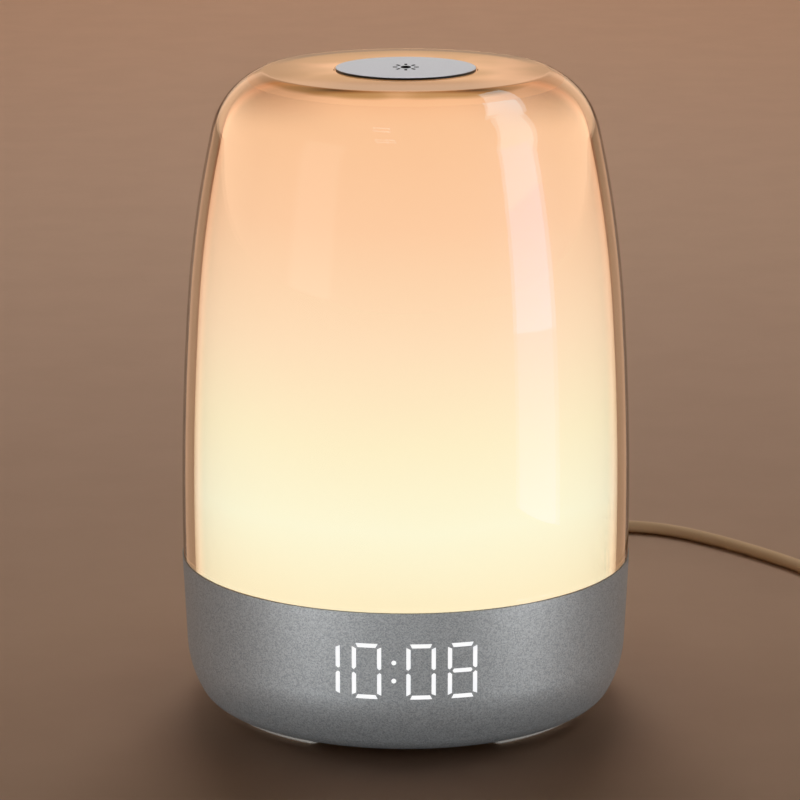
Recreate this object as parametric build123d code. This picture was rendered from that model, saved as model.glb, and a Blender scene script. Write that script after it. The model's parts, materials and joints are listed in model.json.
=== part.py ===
from build123d import *
import os
from math import asin, atan2, cos, degrees, hypot, pi, radians, sin, sqrt, tan

# Sunrise alarm clock: a clear dome over a milky lamp, on a silver base with a hidden display.
# Millimetres. +Z is up, the display faces -Y, and the origin is on the dome's axis at the feet.

os.makedirs("parts", exist_ok=True)

# ---- base housing ----
seam_radius = 55.0          # widest edge, where the base meets the dome
seam_height = 37.1
foot_height = 1.2           # air under the base
base_draft = 2.6            # degrees that the wall leans in towards the table
toe_height = 14.3           # height of the rounded lower corner
underside_inset = 9.35      # flat ring of the underside, in from the widest edge
toe_radius = 6.0            # lower, tighter arc of that corner
housing_wall = 2.4
display_wall = 1.0          # thinned wall in front of the display
deck_underside = 31.5       # deck that closes the base at the top
deck_thickness = 2.5
rim_wall = 0.8              # thin upright lip round the deck
rim_clearance = 0.1         # between the lip and the shell's spigot
seam_gap = 0.1              # between the lip's top and the step of the shell

# ---- dome ----
dome_top = 156.2            # flat top of the clear shell
shell_wall = 2.4
air_gap = 0.5               # between clear shell and milky diffuser
diffuser_wall = 2.0
shell_step = 0.24           # the shell stands this much inside the base's edge
shell_lean = -0.8           # degrees, outward lean of the wall at its foot
side_inset = 2.14           # how far the wall has come in where the haunch starts
side_drop = 55.7            # ... and how far below the top that is
haunch_inset = 8.43
haunch_drop = 14.0
crown_inset = 20.6          # edge of the flat top, in from the base's widest edge
crown_round = 1.2
gasket_thickness = 0.4      # under the shell's spigot
gasket_width = 1.5

# ---- top button ----
plate_radius = 16.8
plate_thickness = 0.8
plate_proud = 0.5
top_travel = 0.5
plate_gap = 0.4             # round the plate in its recess
button_hole_radius = 13.4
carrier_radius = 13.0
carrier_wall = 1.5
carrier_depth = 7.4
hook_reach = 1.0
hook_height = 1.5
hook_gap = 0.3
hook_span = 40.0            # degrees of each snap hook
hook_count = 3
cup_bore = 14.5
cup_wall = 1.1
cup_flange_radius = 19.0
cup_flange = 1.5
cup_depth = 12.8
cup_floor = 1.5
symbol_dot = 1.35
symbol_ray_inner = 2.1
symbol_ray_outer = 3.3
symbol_ray_width = 0.65
symbol_rays = 8
symbol_depth = 0.15

# ---- switches ----
switch_size = 6.0
switch_height = 3.5
stem_radius = 1.6
stem_clearance = 0.1
stem_engagement = 1.2
stem_room = 0.3             # left under the stem when the button is fully pressed

# ---- lamp ----
tray_thickness = 1.5
tray_clearance = 0.2
tray_boss_radius = 4.6
tray_boss_height = 4.5
tray_screw_inset = 3.7      # in from the tray's edge
tray_screw_count = 3
board_thickness = 1.6
led_board_inset = 7.1       # in from the tray's edge
led_size = (3.5, 2.8, 0.8)
warm_led_inset = 8.5        # in from the board's edge
warm_led_count = 24
amber_led_inset = 22.5
amber_led_count = 12
socket_wall = 1.2
socket_depth = 5.0
tube_radius = 3.0
tube_bore = 2.0
tube_clearance = 0.05
wire_radius = 0.6
lead_radius = 0.9
led_lead_x = 14.0
led_wire_pitch = 1.6

# ---- main board ----
main_board_top = 20.6
main_board_gap = 2.5        # to the wall round it
main_board_side_gap = 2.1   # to the cover's posts beside it
board_post_inset = 5.5
board_post_y = 26.0
board_post_radius = 2.8
connector_height = 6.0
connector_size = (6.4, 4.4)
speaker_socket = (20.0, 3.0, 2.0)
controller_chip = (10.0, 10.0, 1.4)
controller_place = (-15.0, -7.0)
amplifier_chip = (6.0, 6.0, 1.2)
amplifier_place = (-5.0, -19.0)
choke = (10.0, 8.0, 3.5)
choke_place = (13.0, -22.0)
clock_chip = (5.0, 5.0, 1.1)
clock_chip_place = (-11.5, 16.5)
driver_chip = (4.0, 4.0, 0.9)
driver_place = (6.0, 14.0)
input_capacitor = (4.0, 9.0)        # radius, height
input_capacitor_place = (-22.0, 14.0)
small_capacitor = (3.15, 7.5)
small_capacitor_places = ((20.0, 14.0), (12.0, -12.0))

# ---- screws ----
screw_shank_radius = 1.25
screw_hole_radius = 1.3
screw_head_radius = 2.4
screw_head_height = 1.6
screw_grip = 8.0
drive_width = 0.7
drive_length = 2.6
drive_depth = 0.8

# ---- display ----
digit_width = 6.9
digit_height = 13.7
segment_width = 1.0
segment_gap = 0.35
digit_pitch = 9.7
colon_room = 12.74          # from the digit before the colon to the one after it
display_centre_z = 22.8
hour_units_x = -9.17
colon_dot_radius = 0.58
colon_spacing = 4.5
lit_depth = 0.25
box_half_width = 18.5
box_height = 16.0
display_depth = 11.4        # from the base's widest edge in to the box's back
display_board_room = 5.6    # from there to the main board's front edge
film_thickness = 0.2
film_clearance = 0.05
display_board_half_width = 19.5
display_board_height = 18.3
display_led = (1.5, 0.6, 0.75)
header_half_width = 12.0
header_height = 2.5
header_pins = 9
pin_pitch = 2.54
pin_width = 0.6

# ---- rear buttons ----
rear_button_names = ("rear_button_set", "rear_button_alarm", "rear_button_light",
                     "rear_button_minus", "rear_button_plus")
rear_button_pitch = 10.0
rear_button_z = 26.0
rear_button_radius = 3.3
rear_button_clearance = 0.3
rear_button_proud = 0.5
rear_button_flange = 4.3
rear_flange_thickness = 1.0
rear_travel = 0.5
button_board_depth = 18.0   # from the base's widest edge in to the switches' board
button_board_margin = 6.0   # beyond the outermost button's axis
button_board_height = 10.2
switch_air = 0.4            # between a switch and the button's flange, fully pressed
guide_radius = 4.7
guide_gap = 0.3

# ---- power inlet and lead ----
jack_z = 12.5
jack_half_width = 4.5
jack_depth = 5.6            # from the base's widest edge in to the jack's face
jack_length = 14.4
jack_bottom = 8.0
jack_bore = 3.0
jack_bore_depth = 10.5
jack_pin_radius = 1.0
barrel_radius = 2.75
barrel_bore = 1.15
barrel_length = 9.5
plug_radius = 5.0
plug_clearance = 0.6
plug_straight = 17.0
plug_taper = 6.0
plug_tip_radius = 3.6
relief_length = 20.0
relief_root_radius = 3.2
relief_tip_radius = 2.3
relief_groove_count = 5
relief_groove_depth = 0.5
relief_groove_width = 1.2
lead_diameter = 3.5
lead_length = 1500.0
coil_place = (150.5, -40.4)         # from the end of the strain relief
coil_radius = 19.6          # middle of the turns
coil_width = 14.0
coil_height = 10.5
coil_corner = 3.0
tie_thickness = 1.2
tie_width = 5.0
tie_angle = -150.0
usb_grip = (15.5, 21.0, 8.0)
usb_shell = (12.0, 11.8, 4.5)
usb_sheet = 0.35
usb_window = 2.2
usb_window_x = 2.5
usb_tongue_inset = 0.8

# ---- speaker ----
speaker_y = -17.0
speaker_radius = 18.0
speaker_rim = 3.5
speaker_gasket_height = 0.6
speaker_rim_thickness = 1.0
speaker_depth = 8.5
basket_radius = 12.5
back_plate = 1.5
magnet_radius = 11.5
magnet_height = 4.3
cone_thickness = 0.4
cone_seat = 0.3             # heights above the speaker's seat: rim,
cone_roll = 0.9             # roll surround,
cone_cap = 1.6              # middle of the dust cap
cone_neck = 3.4             # and the neck
coil_form_radius = 5.0
grille_hole_radius = 0.9
grille_pitch = 3.0
grille_rings = 4

# ---- bottom cover, battery, feet ----
cover_thickness = 2.2
cover_clearance = 0.2
cover_post_inset = 6.2      # in from the cover's edge
cover_post_y = 12.7
cover_post_radius = 3.2
battery_y = 19.0
cap_radius = 12.2
cap_clearance = 0.3
cap_thickness = 2.0
cap_skirt_wall = 1.2
cap_skirt_height = 2.0
lug_reach = 1.4
lug_height = 1.1
lug_span = 20.0
lug_clearance = 0.2
cap_turn = 45.0             # degrees from locked to free
lug_play = 2.0              # degrees at each end of the turn
coin_slot = (16.0, 1.8, 1.0)
cell_radius = 10.0
cell_thickness = 3.2
cell_gap = 0.3
cup_body_radius = 15.4
cup_room = 5.0              # inside height above the cover plate
cup_roof = 1.6
contact_thickness = 0.3
contact_leaf_radius = 5.0
contact_post_radius = 1.5
foot_inset = 9.2            # in from the base's widest edge
foot_width = 3.8
foot_span = 64.0            # degrees of each foot's arc
foot_names = ("foot_rear", "foot_front_left", "foot_front_right")
foot_chamfer = 0.3
foot_gap = 1.0              # between the feet and the cover

# ---- values that follow from the sizes above ----
underside_radius = seam_radius - underside_inset
crown_radius = seam_radius - crown_inset
foot_outer = seam_radius - foot_inset
foot_inner = foot_outer - foot_width
cover_radius = foot_inner - foot_gap
cover_post_x = cover_radius - cover_post_inset
main_board_half_width = cover_post_x - cover_post_radius - main_board_side_gap
board_post_x = main_board_half_width - board_post_inset
box_back_y = display_depth - seam_radius
main_board_front = box_back_y + display_board_room
button_board_y = seam_radius - button_board_depth
jack_face_y = seam_radius - jack_depth
lead_start_y = jack_face_y + plug_straight + plug_taper + relief_length
coil_centre = (coil_place[0], lead_start_y + coil_place[1])
deck_top = deck_underside + deck_thickness
shell_foot = seam_height + seam_gap
spigot_radius = seam_radius - rim_wall - rim_clearance
spigot_foot = deck_top + gasket_thickness
cover_top = foot_height + cover_thickness
diffuser_inset = shell_wall + air_gap
dome_inner_inset = diffuser_inset + diffuser_wall
dome_ceiling = dome_top - dome_inner_inset
plate_top = dome_top + plate_proud
plate_underside = plate_top - plate_thickness
recess_floor = plate_underside - top_travel
tray_top = deck_top + tray_thickness
main_board_underside = main_board_top - board_thickness
digit_centres = (hour_units_x - digit_pitch, hour_units_x, hour_units_x + colon_room,
                 hour_units_x + colon_room + digit_pitch)
colon_x = hour_units_x + colon_room / 2
switch_face_y = button_board_y + board_thickness + switch_height
flange_y = switch_face_y + switch_air + rear_travel
guide_y = flange_y + rear_flange_thickness + guide_gap


# ---- helpers ----
def save(name, solid):
    """Write one sub-part to its STEP file."""
    export_step(solid, f"parts/{name}.step")


def joined(solids):
    """Separate solids kept as one sub-part."""
    return Compound(children=list(solids))


def tube(r_out, r_in, z0, z1, x=0.0, y=0.0):
    """Upright ring between two heights."""
    ring = disc(r_out, z0, z1, x, y)
    return ring - disc(r_in, z0 - 1, z1 + 1, x, y)


def disc(radius, z0, z1, x=0.0, y=0.0):
    """Upright cylinder between two heights."""
    return Pos(x, y, (z0 + z1) / 2) * Cylinder(radius, z1 - z0)


def rod_y(radius, y0, y1, x, z):
    """Cylinder along Y between two places."""
    return Pos(x, (y0 + y1) / 2, z) * Rot(90, 0, 0) * Cylinder(radius, y1 - y0)


def block(x0, x1, y0, y1, z0, z1):
    """Box from its limits."""
    return Pos((x0 + x1) / 2, (y0 + y1) / 2, (z0 + z1) / 2) * Box(x1 - x0, y1 - y0, z1 - z0)


def turned(points, arc=360.0):
    """Solid of revolution about Z from (radius, height) points joined by straight lines."""
    outline = Polyline([(r, 0, z) for r, z in points], close=True)
    return revolve(make_face(outline.edges()), Axis.Z, arc)


def sector(r_in, r_out, z0, z1, start, end):
    """Part of a ring between two angles in degrees, counted from +X."""
    face_points = [(r_in, z0), (r_out, z0), (r_out, z1), (r_in, z1)]
    return Rot(0, 0, start) * turned(face_points, end - start)


def ring_of(count, radius, solid, start=0.0):
    """Copies of a solid, evenly spaced on a circle."""
    step = 360.0 / count
    return [Rot(0, 0, start + i * step) * Pos(radius, 0, 0) * solid for i in range(count)]


# ---- outlines of the base and the dome ----
def wall_radius(z, inset=0.0):
    """Radius of the base's drafted wall at a height."""
    draft = radians(base_draft)
    return seam_radius - (seam_height - z) * tan(draft) - inset / cos(draft)


def toe_arcs():
    """Two tangent arcs of the base's lower corner: centres, radii and the angle between them."""
    draft = radians(base_draft)
    low = (underside_radius, foot_height + toe_radius)
    end_z = foot_height + toe_height
    end = (wall_radius(end_z), end_z)
    q = (end[0] - low[0], end[1] - low[1])
    normal = (cos(draft), -sin(draft))
    along = q[0] * normal[0] + q[1] * normal[1]
    high_radius = (q[0] ** 2 + q[1] ** 2 - toe_radius ** 2) / (2 * (along - toe_radius))
    high = (end[0] - high_radius * normal[0], end[1] - high_radius * normal[1])
    split = atan2(low[1] - high[1], low[0] - high[0])
    return low, high, high_radius, split


def on_arc(centre, radius, angle):
    """Point of the XZ plane on an arc."""
    return (centre[0] + radius * cos(angle), 0, centre[1] + radius * sin(angle))


def base_solid(inset, top):
    """The base's outer form, drawn in by inset on every side, up to a height."""
    low, high, high_radius, split = toe_arcs()
    draft = radians(base_draft)
    r_low = toe_radius - inset
    r_high = high_radius - inset
    bottom_point = on_arc(low, r_low, -pi / 2)
    split_point = on_arc(low, r_low, split)
    wall_point = on_arc(high, r_high, -draft)
    top_point = (wall_radius(top, inset), 0, top)
    low_arc = ThreePointArc(bottom_point, on_arc(low, r_low, (split - pi / 2) / 2), split_point)
    high_arc = ThreePointArc(split_point, on_arc(high, r_high, (split - draft) / 2), wall_point)
    edges = [
        Line((0, 0, bottom_point[2]), bottom_point),
        low_arc,
        high_arc,
        Line(wall_point, top_point),
        Line(top_point, (0, 0, top)),
        Line((0, 0, top), (0, 0, bottom_point[2])),
    ]
    return revolve(make_face([edge.edge() for edge in edges]), Axis.Z, 360)


def dome_arcs():
    """The shell's side, haunch and shoulder: each arc's centre, radius, first and last angle."""
    foot_radius = seam_radius - shell_step
    points = [
        (foot_radius, shell_foot),
        (seam_radius - side_inset, dome_top - side_drop),
        (seam_radius - haunch_inset, dome_top - haunch_drop),
        (crown_radius, dome_top),
    ]
    arcs = []
    lean = radians(shell_lean)
    for start, end in zip(points, points[1:]):
        chord = hypot(end[0] - start[0], end[1] - start[1])
        chord_lean = atan2(start[0] - end[0], end[1] - start[1])
        end_lean = 2 * chord_lean - lean
        radius = chord / (2 * sin((end_lean - lean) / 2))
        centre = (start[0] - radius * cos(lean), start[1] - radius * sin(lean))
        arcs.append((centre, radius, lean, end_lean))
        lean = end_lean
    return arcs


def dome_solid(inset, bottom):
    """The dome's outer form, drawn in by inset on every side, down to a height."""
    arcs = dome_arcs()
    side_centre, side_radius, _, side_end = arcs[0]
    crown_centre, shoulder_radius, shoulder_start, _ = arcs[2]
    top = dome_top - inset
    foot_angle = asin((bottom - side_centre[1]) / (side_radius - inset))
    top_angle = asin((top - crown_centre[1]) / (shoulder_radius - inset))
    spans = [
        (side_centre, side_radius, foot_angle, side_end),
        arcs[1],
        (crown_centre, shoulder_radius, shoulder_start, top_angle),
    ]
    edges = []
    for centre, radius, start, end in spans:
        r = radius - inset
        ends = (on_arc(centre, r, start), on_arc(centre, r, (start + end) / 2), on_arc(centre, r, end))
        edges.append(ThreePointArc(*ends))
    first = edges[0] @ 0
    last = edges[2] @ 1
    edges.append(Line(last, (0, 0, last.Z)))
    edges.append(Line((0, 0, last.Z), (0, 0, first.Z)))
    edges.append(Line((0, 0, first.Z), first))
    return revolve(make_face([edge.edge() for edge in edges]), Axis.Z, 360)


def diffuser_bore(z):
    """Radius inside the diffuser's wall near its foot."""
    side_centre, side_radius, _, _ = dome_arcs()[0]
    inner = side_radius - dome_inner_inset
    return side_centre[0] + sqrt(inner ** 2 - (z - side_centre[1]) ** 2)


# ---- places that follow from the outlines ----
tray_radius = diffuser_bore(deck_top) - tray_clearance
tray_screw_circle = tray_radius - tray_screw_inset
led_board_radius = tray_radius - led_board_inset
main_board_radius = wall_radius(main_board_underside, housing_wall) - main_board_gap
cover_posts = [(sx * cover_post_x, sy * cover_post_y) for sx in (-1, 1) for sy in (-1, 1)]
board_posts = [(sx * board_post_x, sy * board_post_y) for sx in (-1, 1) for sy in (-1, 1)]
tray_screws = [
    (tray_screw_circle * cos(2 * pi * i / tray_screw_count + pi / 2),
     tray_screw_circle * sin(2 * pi * i / tray_screw_count + pi / 2))
    for i in range(tray_screw_count)
]
rear_button_places = [rear_button_pitch * (i - (len(rear_button_names) - 1) / 2)
                      for i in range(len(rear_button_names))]


def screw(x, y, seat, up, grip):
    """Self-tapping screw with a cross drive: its head lies under (up) or on (down) the seat."""
    sign = 1 if up else -1
    head_far = seat - sign * screw_head_height
    head = disc(screw_head_radius, min(seat, head_far), max(seat, head_far), x, y)
    tip = seat + sign * grip
    shank = disc(screw_shank_radius, min(seat, tip), max(seat, tip), x, y)
    bar = Box(drive_length, drive_width, 2 * drive_depth)
    drive = bar + Rot(0, 0, 90) * bar
    return head + shank - Pos(x, y, head_far) * drive


# ---- display outlines ----
def segment_outlines():
    """Seven segments of a digit about its centre, each a list of (x, z) corners."""
    w = digit_width / 2
    h = digit_height / 2
    t = segment_width
    g = segment_gap
    half = t / 2
    top = [(-w + g + half, h), (w - g - half, h), (w - t - g, h - t), (-w + t + g, h - t)]
    upper_right = [(w, h - g - half), (w, g + half * 0.6), (w - half * 0.9, g),
                   (w - t, half + g), (w - t, h - t - g)]
    middle = [(-w + t * 0.75 + g, 0), (-w + t * 1.1 + g, half), (w - t * 1.1 - g, half),
              (w - t * 0.75 - g, 0), (w - t * 1.1 - g, -half), (-w + t * 1.1 + g, -half)]
    return {
        "top": top,
        "upper_right": upper_right,
        "upper_left": [(-x, z) for x, z in upper_right],
        "middle": middle,
        "lower_right": [(x, -z) for x, z in upper_right],
        "lower_left": [(-x, -z) for x, z in upper_right],
        "bottom": [(x, -z) for x, z in top],
    }


segments_on = {
    "1": ("upper_right", "lower_right"),
    "0": ("top", "upper_right", "lower_right", "bottom", "lower_left", "upper_left"),
    "8": ("top", "upper_right", "lower_right", "bottom", "lower_left", "upper_left", "middle"),
}


def segment_prism(corners, x, y0, y1):
    """One segment's outline, drawn through from y0 to y1."""
    outline = [(x + cx, y1, display_centre_z + cz) for cx, cz in corners]
    face = make_face(Polyline(outline, close=True).edges())
    return extrude(face, amount=y1 - y0, dir=(0, -1, 0))


def fitted_segments(y0, y1):
    """Every segment that the display has: the first digit only ever shows a 1."""
    prisms = []
    for i, x in enumerate(digit_centres):
        names = segments_on["1"] if i == 0 else segments_on["8"]
        prisms += [segment_prism(segment_outlines()[name], x, y0, y1) for name in names]
    return prisms


def lit_segments(y0, y1):
    """The segments that are on at 10:08."""
    prisms = []
    for digit, x in zip("1008", digit_centres):
        prisms += [segment_prism(segment_outlines()[name], x, y0, y1) for name in segments_on[digit]]
    return prisms


def colon_dots(y0, y1):
    """The two dots between hours and minutes."""
    return [rod_y(colon_dot_radius, y0, y1, colon_x, display_centre_z + s * colon_spacing / 2)
            for s in (-1, 1)]


# ---- base housing, bottom cover and feet ----
def make_base_housing():
    """Silver shell with its deck, posts, button guides, lead opening and thinned display wall."""
    outer = base_solid(0, seam_height)
    cavity = base_solid(housing_wall, deck_underside)
    cavity += disc(cover_radius + cover_clearance, foot_height - 1, cavity.bounding_box().min.Z + 1)
    window = base_solid(display_wall, deck_underside)
    window &= block(-box_half_width - 0.3, box_half_width + 0.3, -seam_radius, box_back_y,
                    display_centre_z - box_height / 2 - 0.3, deck_underside)
    shell = outer - cavity - window - disc(seam_radius - rim_wall, deck_top, seam_height + 1)
    for x, y in cover_posts:
        shell += disc(cover_post_radius, cover_top, deck_underside, x, y)
    for x, y in board_posts:
        shell += disc(board_post_radius, main_board_top, deck_underside, x, y)
    for x in rear_button_places:
        guide = rod_y(guide_radius, guide_y, seam_radius, x, rear_button_z)
        shell += guide & base_solid(housing_wall / 2, deck_underside)
    for x in rear_button_places:
        shell -= rod_y(rear_button_radius + rear_button_clearance, guide_y - 1, seam_radius + 1,
                       x, rear_button_z)
    shell -= rod_y(plug_radius + plug_clearance, jack_face_y - 3, seam_radius + 1, 0, jack_z)
    for x, y in cover_posts:
        shell -= disc(screw_hole_radius, cover_top - 1, cover_top + screw_grip, x, y)
    for x, y in board_posts:
        shell -= disc(screw_hole_radius, main_board_top - 1, main_board_top + screw_grip, x, y)
    for x, y in tray_screws:
        shell -= disc(screw_hole_radius, deck_underside - 1, deck_top + 1, x, y)
    shell -= disc(tube_bore, deck_underside - 1, deck_top + 1)
    shell -= disc(tube_bore, deck_underside - 1, deck_top + 1, led_lead_x)
    for mark in lit_marks():
        shell -= mark
    return shell


def grille_holes():
    """Round sound holes in rings under the speaker."""
    holes = [disc(grille_hole_radius, foot_height - 1, cover_top + 1, 0, speaker_y)]
    for ring in range(1, grille_rings + 1):
        hole = disc(grille_hole_radius, foot_height - 1, cover_top + 1)
        holes += [Pos(0, speaker_y, 0) * h for h in ring_of(6 * ring, ring * grille_pitch, hole)]
    return holes


def make_bottom_cover():
    """Cover plate with grille, screw wells and the coin cell's cup."""
    centre = (0, battery_y)
    cup_top = cover_top + cup_room + cup_roof
    opening = cap_radius + cap_clearance
    cover = disc(cover_radius, foot_height, cover_top)
    cover += disc(cup_body_radius, foot_height, cup_top, *centre)
    cover -= disc(opening, foot_height - 1, cover_top + cup_room, *centre)
    lug_low = foot_height + cap_thickness + cap_skirt_height - lug_height
    groove_low = lug_low - lug_clearance
    groove_high = lug_low + lug_height + lug_clearance
    reach = cap_radius + lug_reach + cap_clearance
    half = lug_span / 2 + lug_play
    for side in (0, 180):
        groove = sector(cap_radius - 1, reach, groove_low, groove_high, side - cap_turn - half, side + half)
        entry = sector(cap_radius - 1, reach, foot_height - 1, groove_low + 0.1,
                       side - cap_turn - half, side - cap_turn + half)
        cover -= Pos(*centre, 0) * groove
        cover -= Pos(*centre, 0) * entry
    for x, y in cover_posts:
        cover -= disc(screw_hole_radius + 0.2, foot_height - 1, cover_top + 1, x, y)
        cover -= disc(screw_head_radius + 0.4, foot_height - 1, cover_seat(), x, y)
    for hole in grille_holes():
        cover -= hole
    return cover


def cover_seat():
    """Height of the face that the cover screws' heads press on."""
    return foot_height + screw_head_height - 0.2


def make_cover_screws():
    """Four screws, their heads sunk in the cover's wells."""
    grip = cover_top - cover_seat() + screw_grip
    return joined(screw(x, y, cover_seat(), True, grip) for x, y in cover_posts)


def make_foot(angle):
    """Rubber foot: an arc strip with round ends and a chamfered lower edge."""
    middle = (foot_inner + foot_outer) / 2
    half_width = (foot_outer - foot_inner) / 2
    end_angle = foot_span / 2 - degrees(half_width / middle)
    strip = sector(foot_inner, foot_outer, 0, foot_height, -end_angle, end_angle)
    for side in (-1, 1):
        strip += Rot(0, 0, side * end_angle) * disc(half_width, 0, foot_height, middle)
    strip = chamfer(strip.faces().sort_by(Axis.Z)[0].outer_wire().edges(), foot_chamfer)
    return Rot(0, 0, angle) * strip


# ---- dome ----
def make_outer_shell():
    """Clear dome whose spigot drops into the base, with a recess and a hole for the top button."""
    shell = dome_solid(0, shell_foot) + disc(spigot_radius, spigot_foot, shell_foot + 1)
    shell -= dome_solid(shell_wall, spigot_foot - 1)
    shell -= disc(plate_radius + plate_gap, recess_floor, dome_top + 1)
    shell -= disc(button_hole_radius, dome_top - 2 * shell_wall, dome_top + 1)
    rims = shell.edges().filter_by(GeomType.CIRCLE)
    rims = rims.filter_by_position(Axis.Z, dome_top - 0.01, dome_top + 0.01)
    return fillet(rims.sort_by(SortBy.RADIUS)[-1], crown_round)


def make_inner_diffuser():
    """Milky dome under the clear one, standing on the deck."""
    milky = dome_solid(diffuser_inset, deck_top) - dome_solid(dome_inner_inset, deck_top - 1)
    return milky - disc(button_hole_radius, dome_ceiling - 1, dome_top)


def make_seam_gasket():
    """Thin dark ring on the deck, under the shell's spigot."""
    return tube(spigot_radius, spigot_radius - gasket_width, deck_top, spigot_foot)


# ---- top button ----
def sun_symbol():
    """Dot and rays, cut into the plate's face and filled flush."""
    low = plate_top - symbol_depth
    ray_length = symbol_ray_outer - symbol_ray_inner
    ray_middle = (symbol_ray_outer + symbol_ray_inner) / 2
    ray = Pos(0, 0, (low + plate_top) / 2) * Box(ray_length, symbol_ray_width, symbol_depth)
    return [disc(symbol_dot, low, plate_top)] + ring_of(symbol_rays, ray_middle, ray)


def make_touch_plate():
    """Aluminium plate with a softened upper edge."""
    plate = disc(plate_radius, plate_underside, plate_top)
    plate = fillet(plate.edges().filter_by(GeomType.CIRCLE).sort_by(Axis.Z)[-1], plate_thickness / 6)
    for mark in sun_symbol():
        plate -= mark
    return plate


def top_switch_board_top():
    """Upper face of the small board in the button's cup."""
    return dome_ceiling - cup_depth + cup_floor + board_thickness


def make_button_carrier():
    """Plastic cup turned over under the plate, with snap hooks and the post that presses the switch."""
    low = plate_underside - carrier_depth
    carrier = disc(carrier_radius, low, plate_underside)
    carrier -= disc(carrier_radius - carrier_wall, low - 1, plate_underside - carrier_wall)
    hook_top = dome_ceiling - hook_gap
    for i in range(hook_count):
        middle = i * 360.0 / hook_count + 90
        carrier += sector(carrier_radius - carrier_wall, carrier_radius + hook_reach,
                          hook_top - hook_height, hook_top, middle - hook_span / 2, middle + hook_span / 2)
    stem_end = top_switch_board_top() + switch_height - stem_engagement
    return carrier + disc(stem_radius, stem_end, plate_underside - carrier_wall)


def make_button_cup():
    """Cup bonded under the diffuser's top: it carries the switch board and the wire tube."""
    low = dome_ceiling - cup_depth
    outer = cup_bore + cup_wall
    cup = disc(outer, low, dome_ceiling) + disc(cup_flange_radius, dome_ceiling - cup_flange, dome_ceiling)
    cup -= disc(cup_bore, low + cup_floor, dome_ceiling + 1)
    bore = tube_radius + tube_clearance
    cup += tube(bore + socket_wall, bore, low - socket_depth, low)
    return cup - disc(tube_bore, low - 1, low + cup_floor + 1)


def make_top_switch_board():
    """Round board on the cup's floor."""
    low = dome_ceiling - cup_depth + cup_floor
    return disc(cup_bore - 0.2, low, low + board_thickness) - disc(lead_radius + 0.05, low - 1, low + 0.8)


def switch_body(travel):
    """Square tact switch on the XY plane, with the bore that its stem travels in."""
    depth = stem_engagement + travel + stem_room
    body = Pos(0, 0, switch_height / 2) * Box(switch_size, switch_size, switch_height)
    body = chamfer(body.edges().filter_by(Axis.Z), 0.4)
    collar = disc(stem_radius + stem_clearance + 0.4, switch_height - depth, switch_height)
    return body + collar - disc(stem_radius + stem_clearance, switch_height - depth, switch_height + 1)


def make_wire_tube():
    """Slim tube from the light tray to the cup."""
    return tube(tube_radius, tube_bore, tray_top, dome_ceiling - cup_depth)


def make_top_switch_lead():
    """Lead down the tube to the main board."""
    top = dome_ceiling - cup_depth + cup_floor + 0.8
    return disc(lead_radius, main_board_top + connector_height, top)


# ---- lamp ----
def make_light_tray():
    """White reflector tray on the deck, with the tube's socket."""
    tray = disc(tray_radius, deck_top, tray_top)
    tray += disc(tray_boss_radius, deck_top, tray_top + tray_boss_height)
    tray -= disc(tube_radius + tube_clearance, tray_top, tray_top + tray_boss_height + 1)
    tray -= disc(tube_bore, deck_top - 1, tray_top + 1)
    tray -= disc(tube_bore, deck_top - 1, tray_top + 1, led_lead_x)
    for x, y in tray_screws:
        tray -= disc(screw_hole_radius + 0.2, deck_top - 1, tray_top + 1, x, y)
    return tray


def make_led_board():
    """Aluminium-cored ring board on the tray."""
    return tube(led_board_radius, tray_boss_radius + 0.3, tray_top, tray_top + board_thickness)


def make_leds(count, circle, start):
    """Ring of flat LEDs on the board."""
    length, width, height = led_size
    led = Pos(0, 0, tray_top + board_thickness + height / 2) * Box(width, length, height)
    led = chamfer(led.edges().filter_by(Axis.Z), 0.25)
    return joined(ring_of(count, circle, led, start))


def make_led_lead():
    """Two wires from the LED board down to the main board."""
    half = led_wire_pitch / 2
    return joined(disc(wire_radius, main_board_top + connector_height, tray_top, led_lead_x + s * half)
                  for s in (-1, 1))


# ---- main board ----
def make_main_board():
    """Board hung under the deck's posts, cut back for the display."""
    board = disc(main_board_radius, main_board_underside, main_board_top)
    board &= block(-main_board_half_width, main_board_half_width, main_board_front, main_board_radius,
                   main_board_underside - 1, main_board_top + 1)
    for x, y in board_posts:
        board -= disc(screw_hole_radius + 0.2, main_board_underside - 1, main_board_top + 1, x, y)
    return board


def on_board(size, place):
    """Box of a size standing on the main board."""
    width, depth, height = size
    return Pos(*place, main_board_top + height / 2) * Box(width, depth, height)


def make_main_board_parts():
    """Chips, capacitors, choke and connectors on the main board."""
    parts = [
        on_board(controller_chip, controller_place),
        on_board(amplifier_chip, amplifier_place),
        on_board(choke, choke_place),
        on_board(clock_chip, clock_chip_place),
        on_board(driver_chip, driver_place),
        on_board((*connector_size, connector_height), (0, 0)),
        on_board((*connector_size, connector_height), (led_lead_x, 0)),
        on_board(speaker_socket, (0, button_board_y - 1.5 * speaker_socket[1])),
    ]
    radius, height = input_capacitor
    parts.append(disc(radius, main_board_top, main_board_top + height, *input_capacitor_place))
    radius, height = small_capacitor
    for place in small_capacitor_places:
        parts.append(disc(radius, main_board_top, main_board_top + height, *place))
    return joined(parts)


# ---- display ----
def make_display_light_box():
    """White block behind the display wall, with an open well for each segment and dot."""
    front = base_solid(display_wall + film_thickness + film_clearance, deck_underside)
    box = block(-box_half_width, box_half_width, -seam_radius, box_back_y,
                display_centre_z - box_height / 2, display_centre_z + box_height / 2)
    box &= front
    for well in fitted_segments(-seam_radius, box_back_y + 1) + colon_dots(-seam_radius, box_back_y + 1):
        box -= well
    return box


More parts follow.
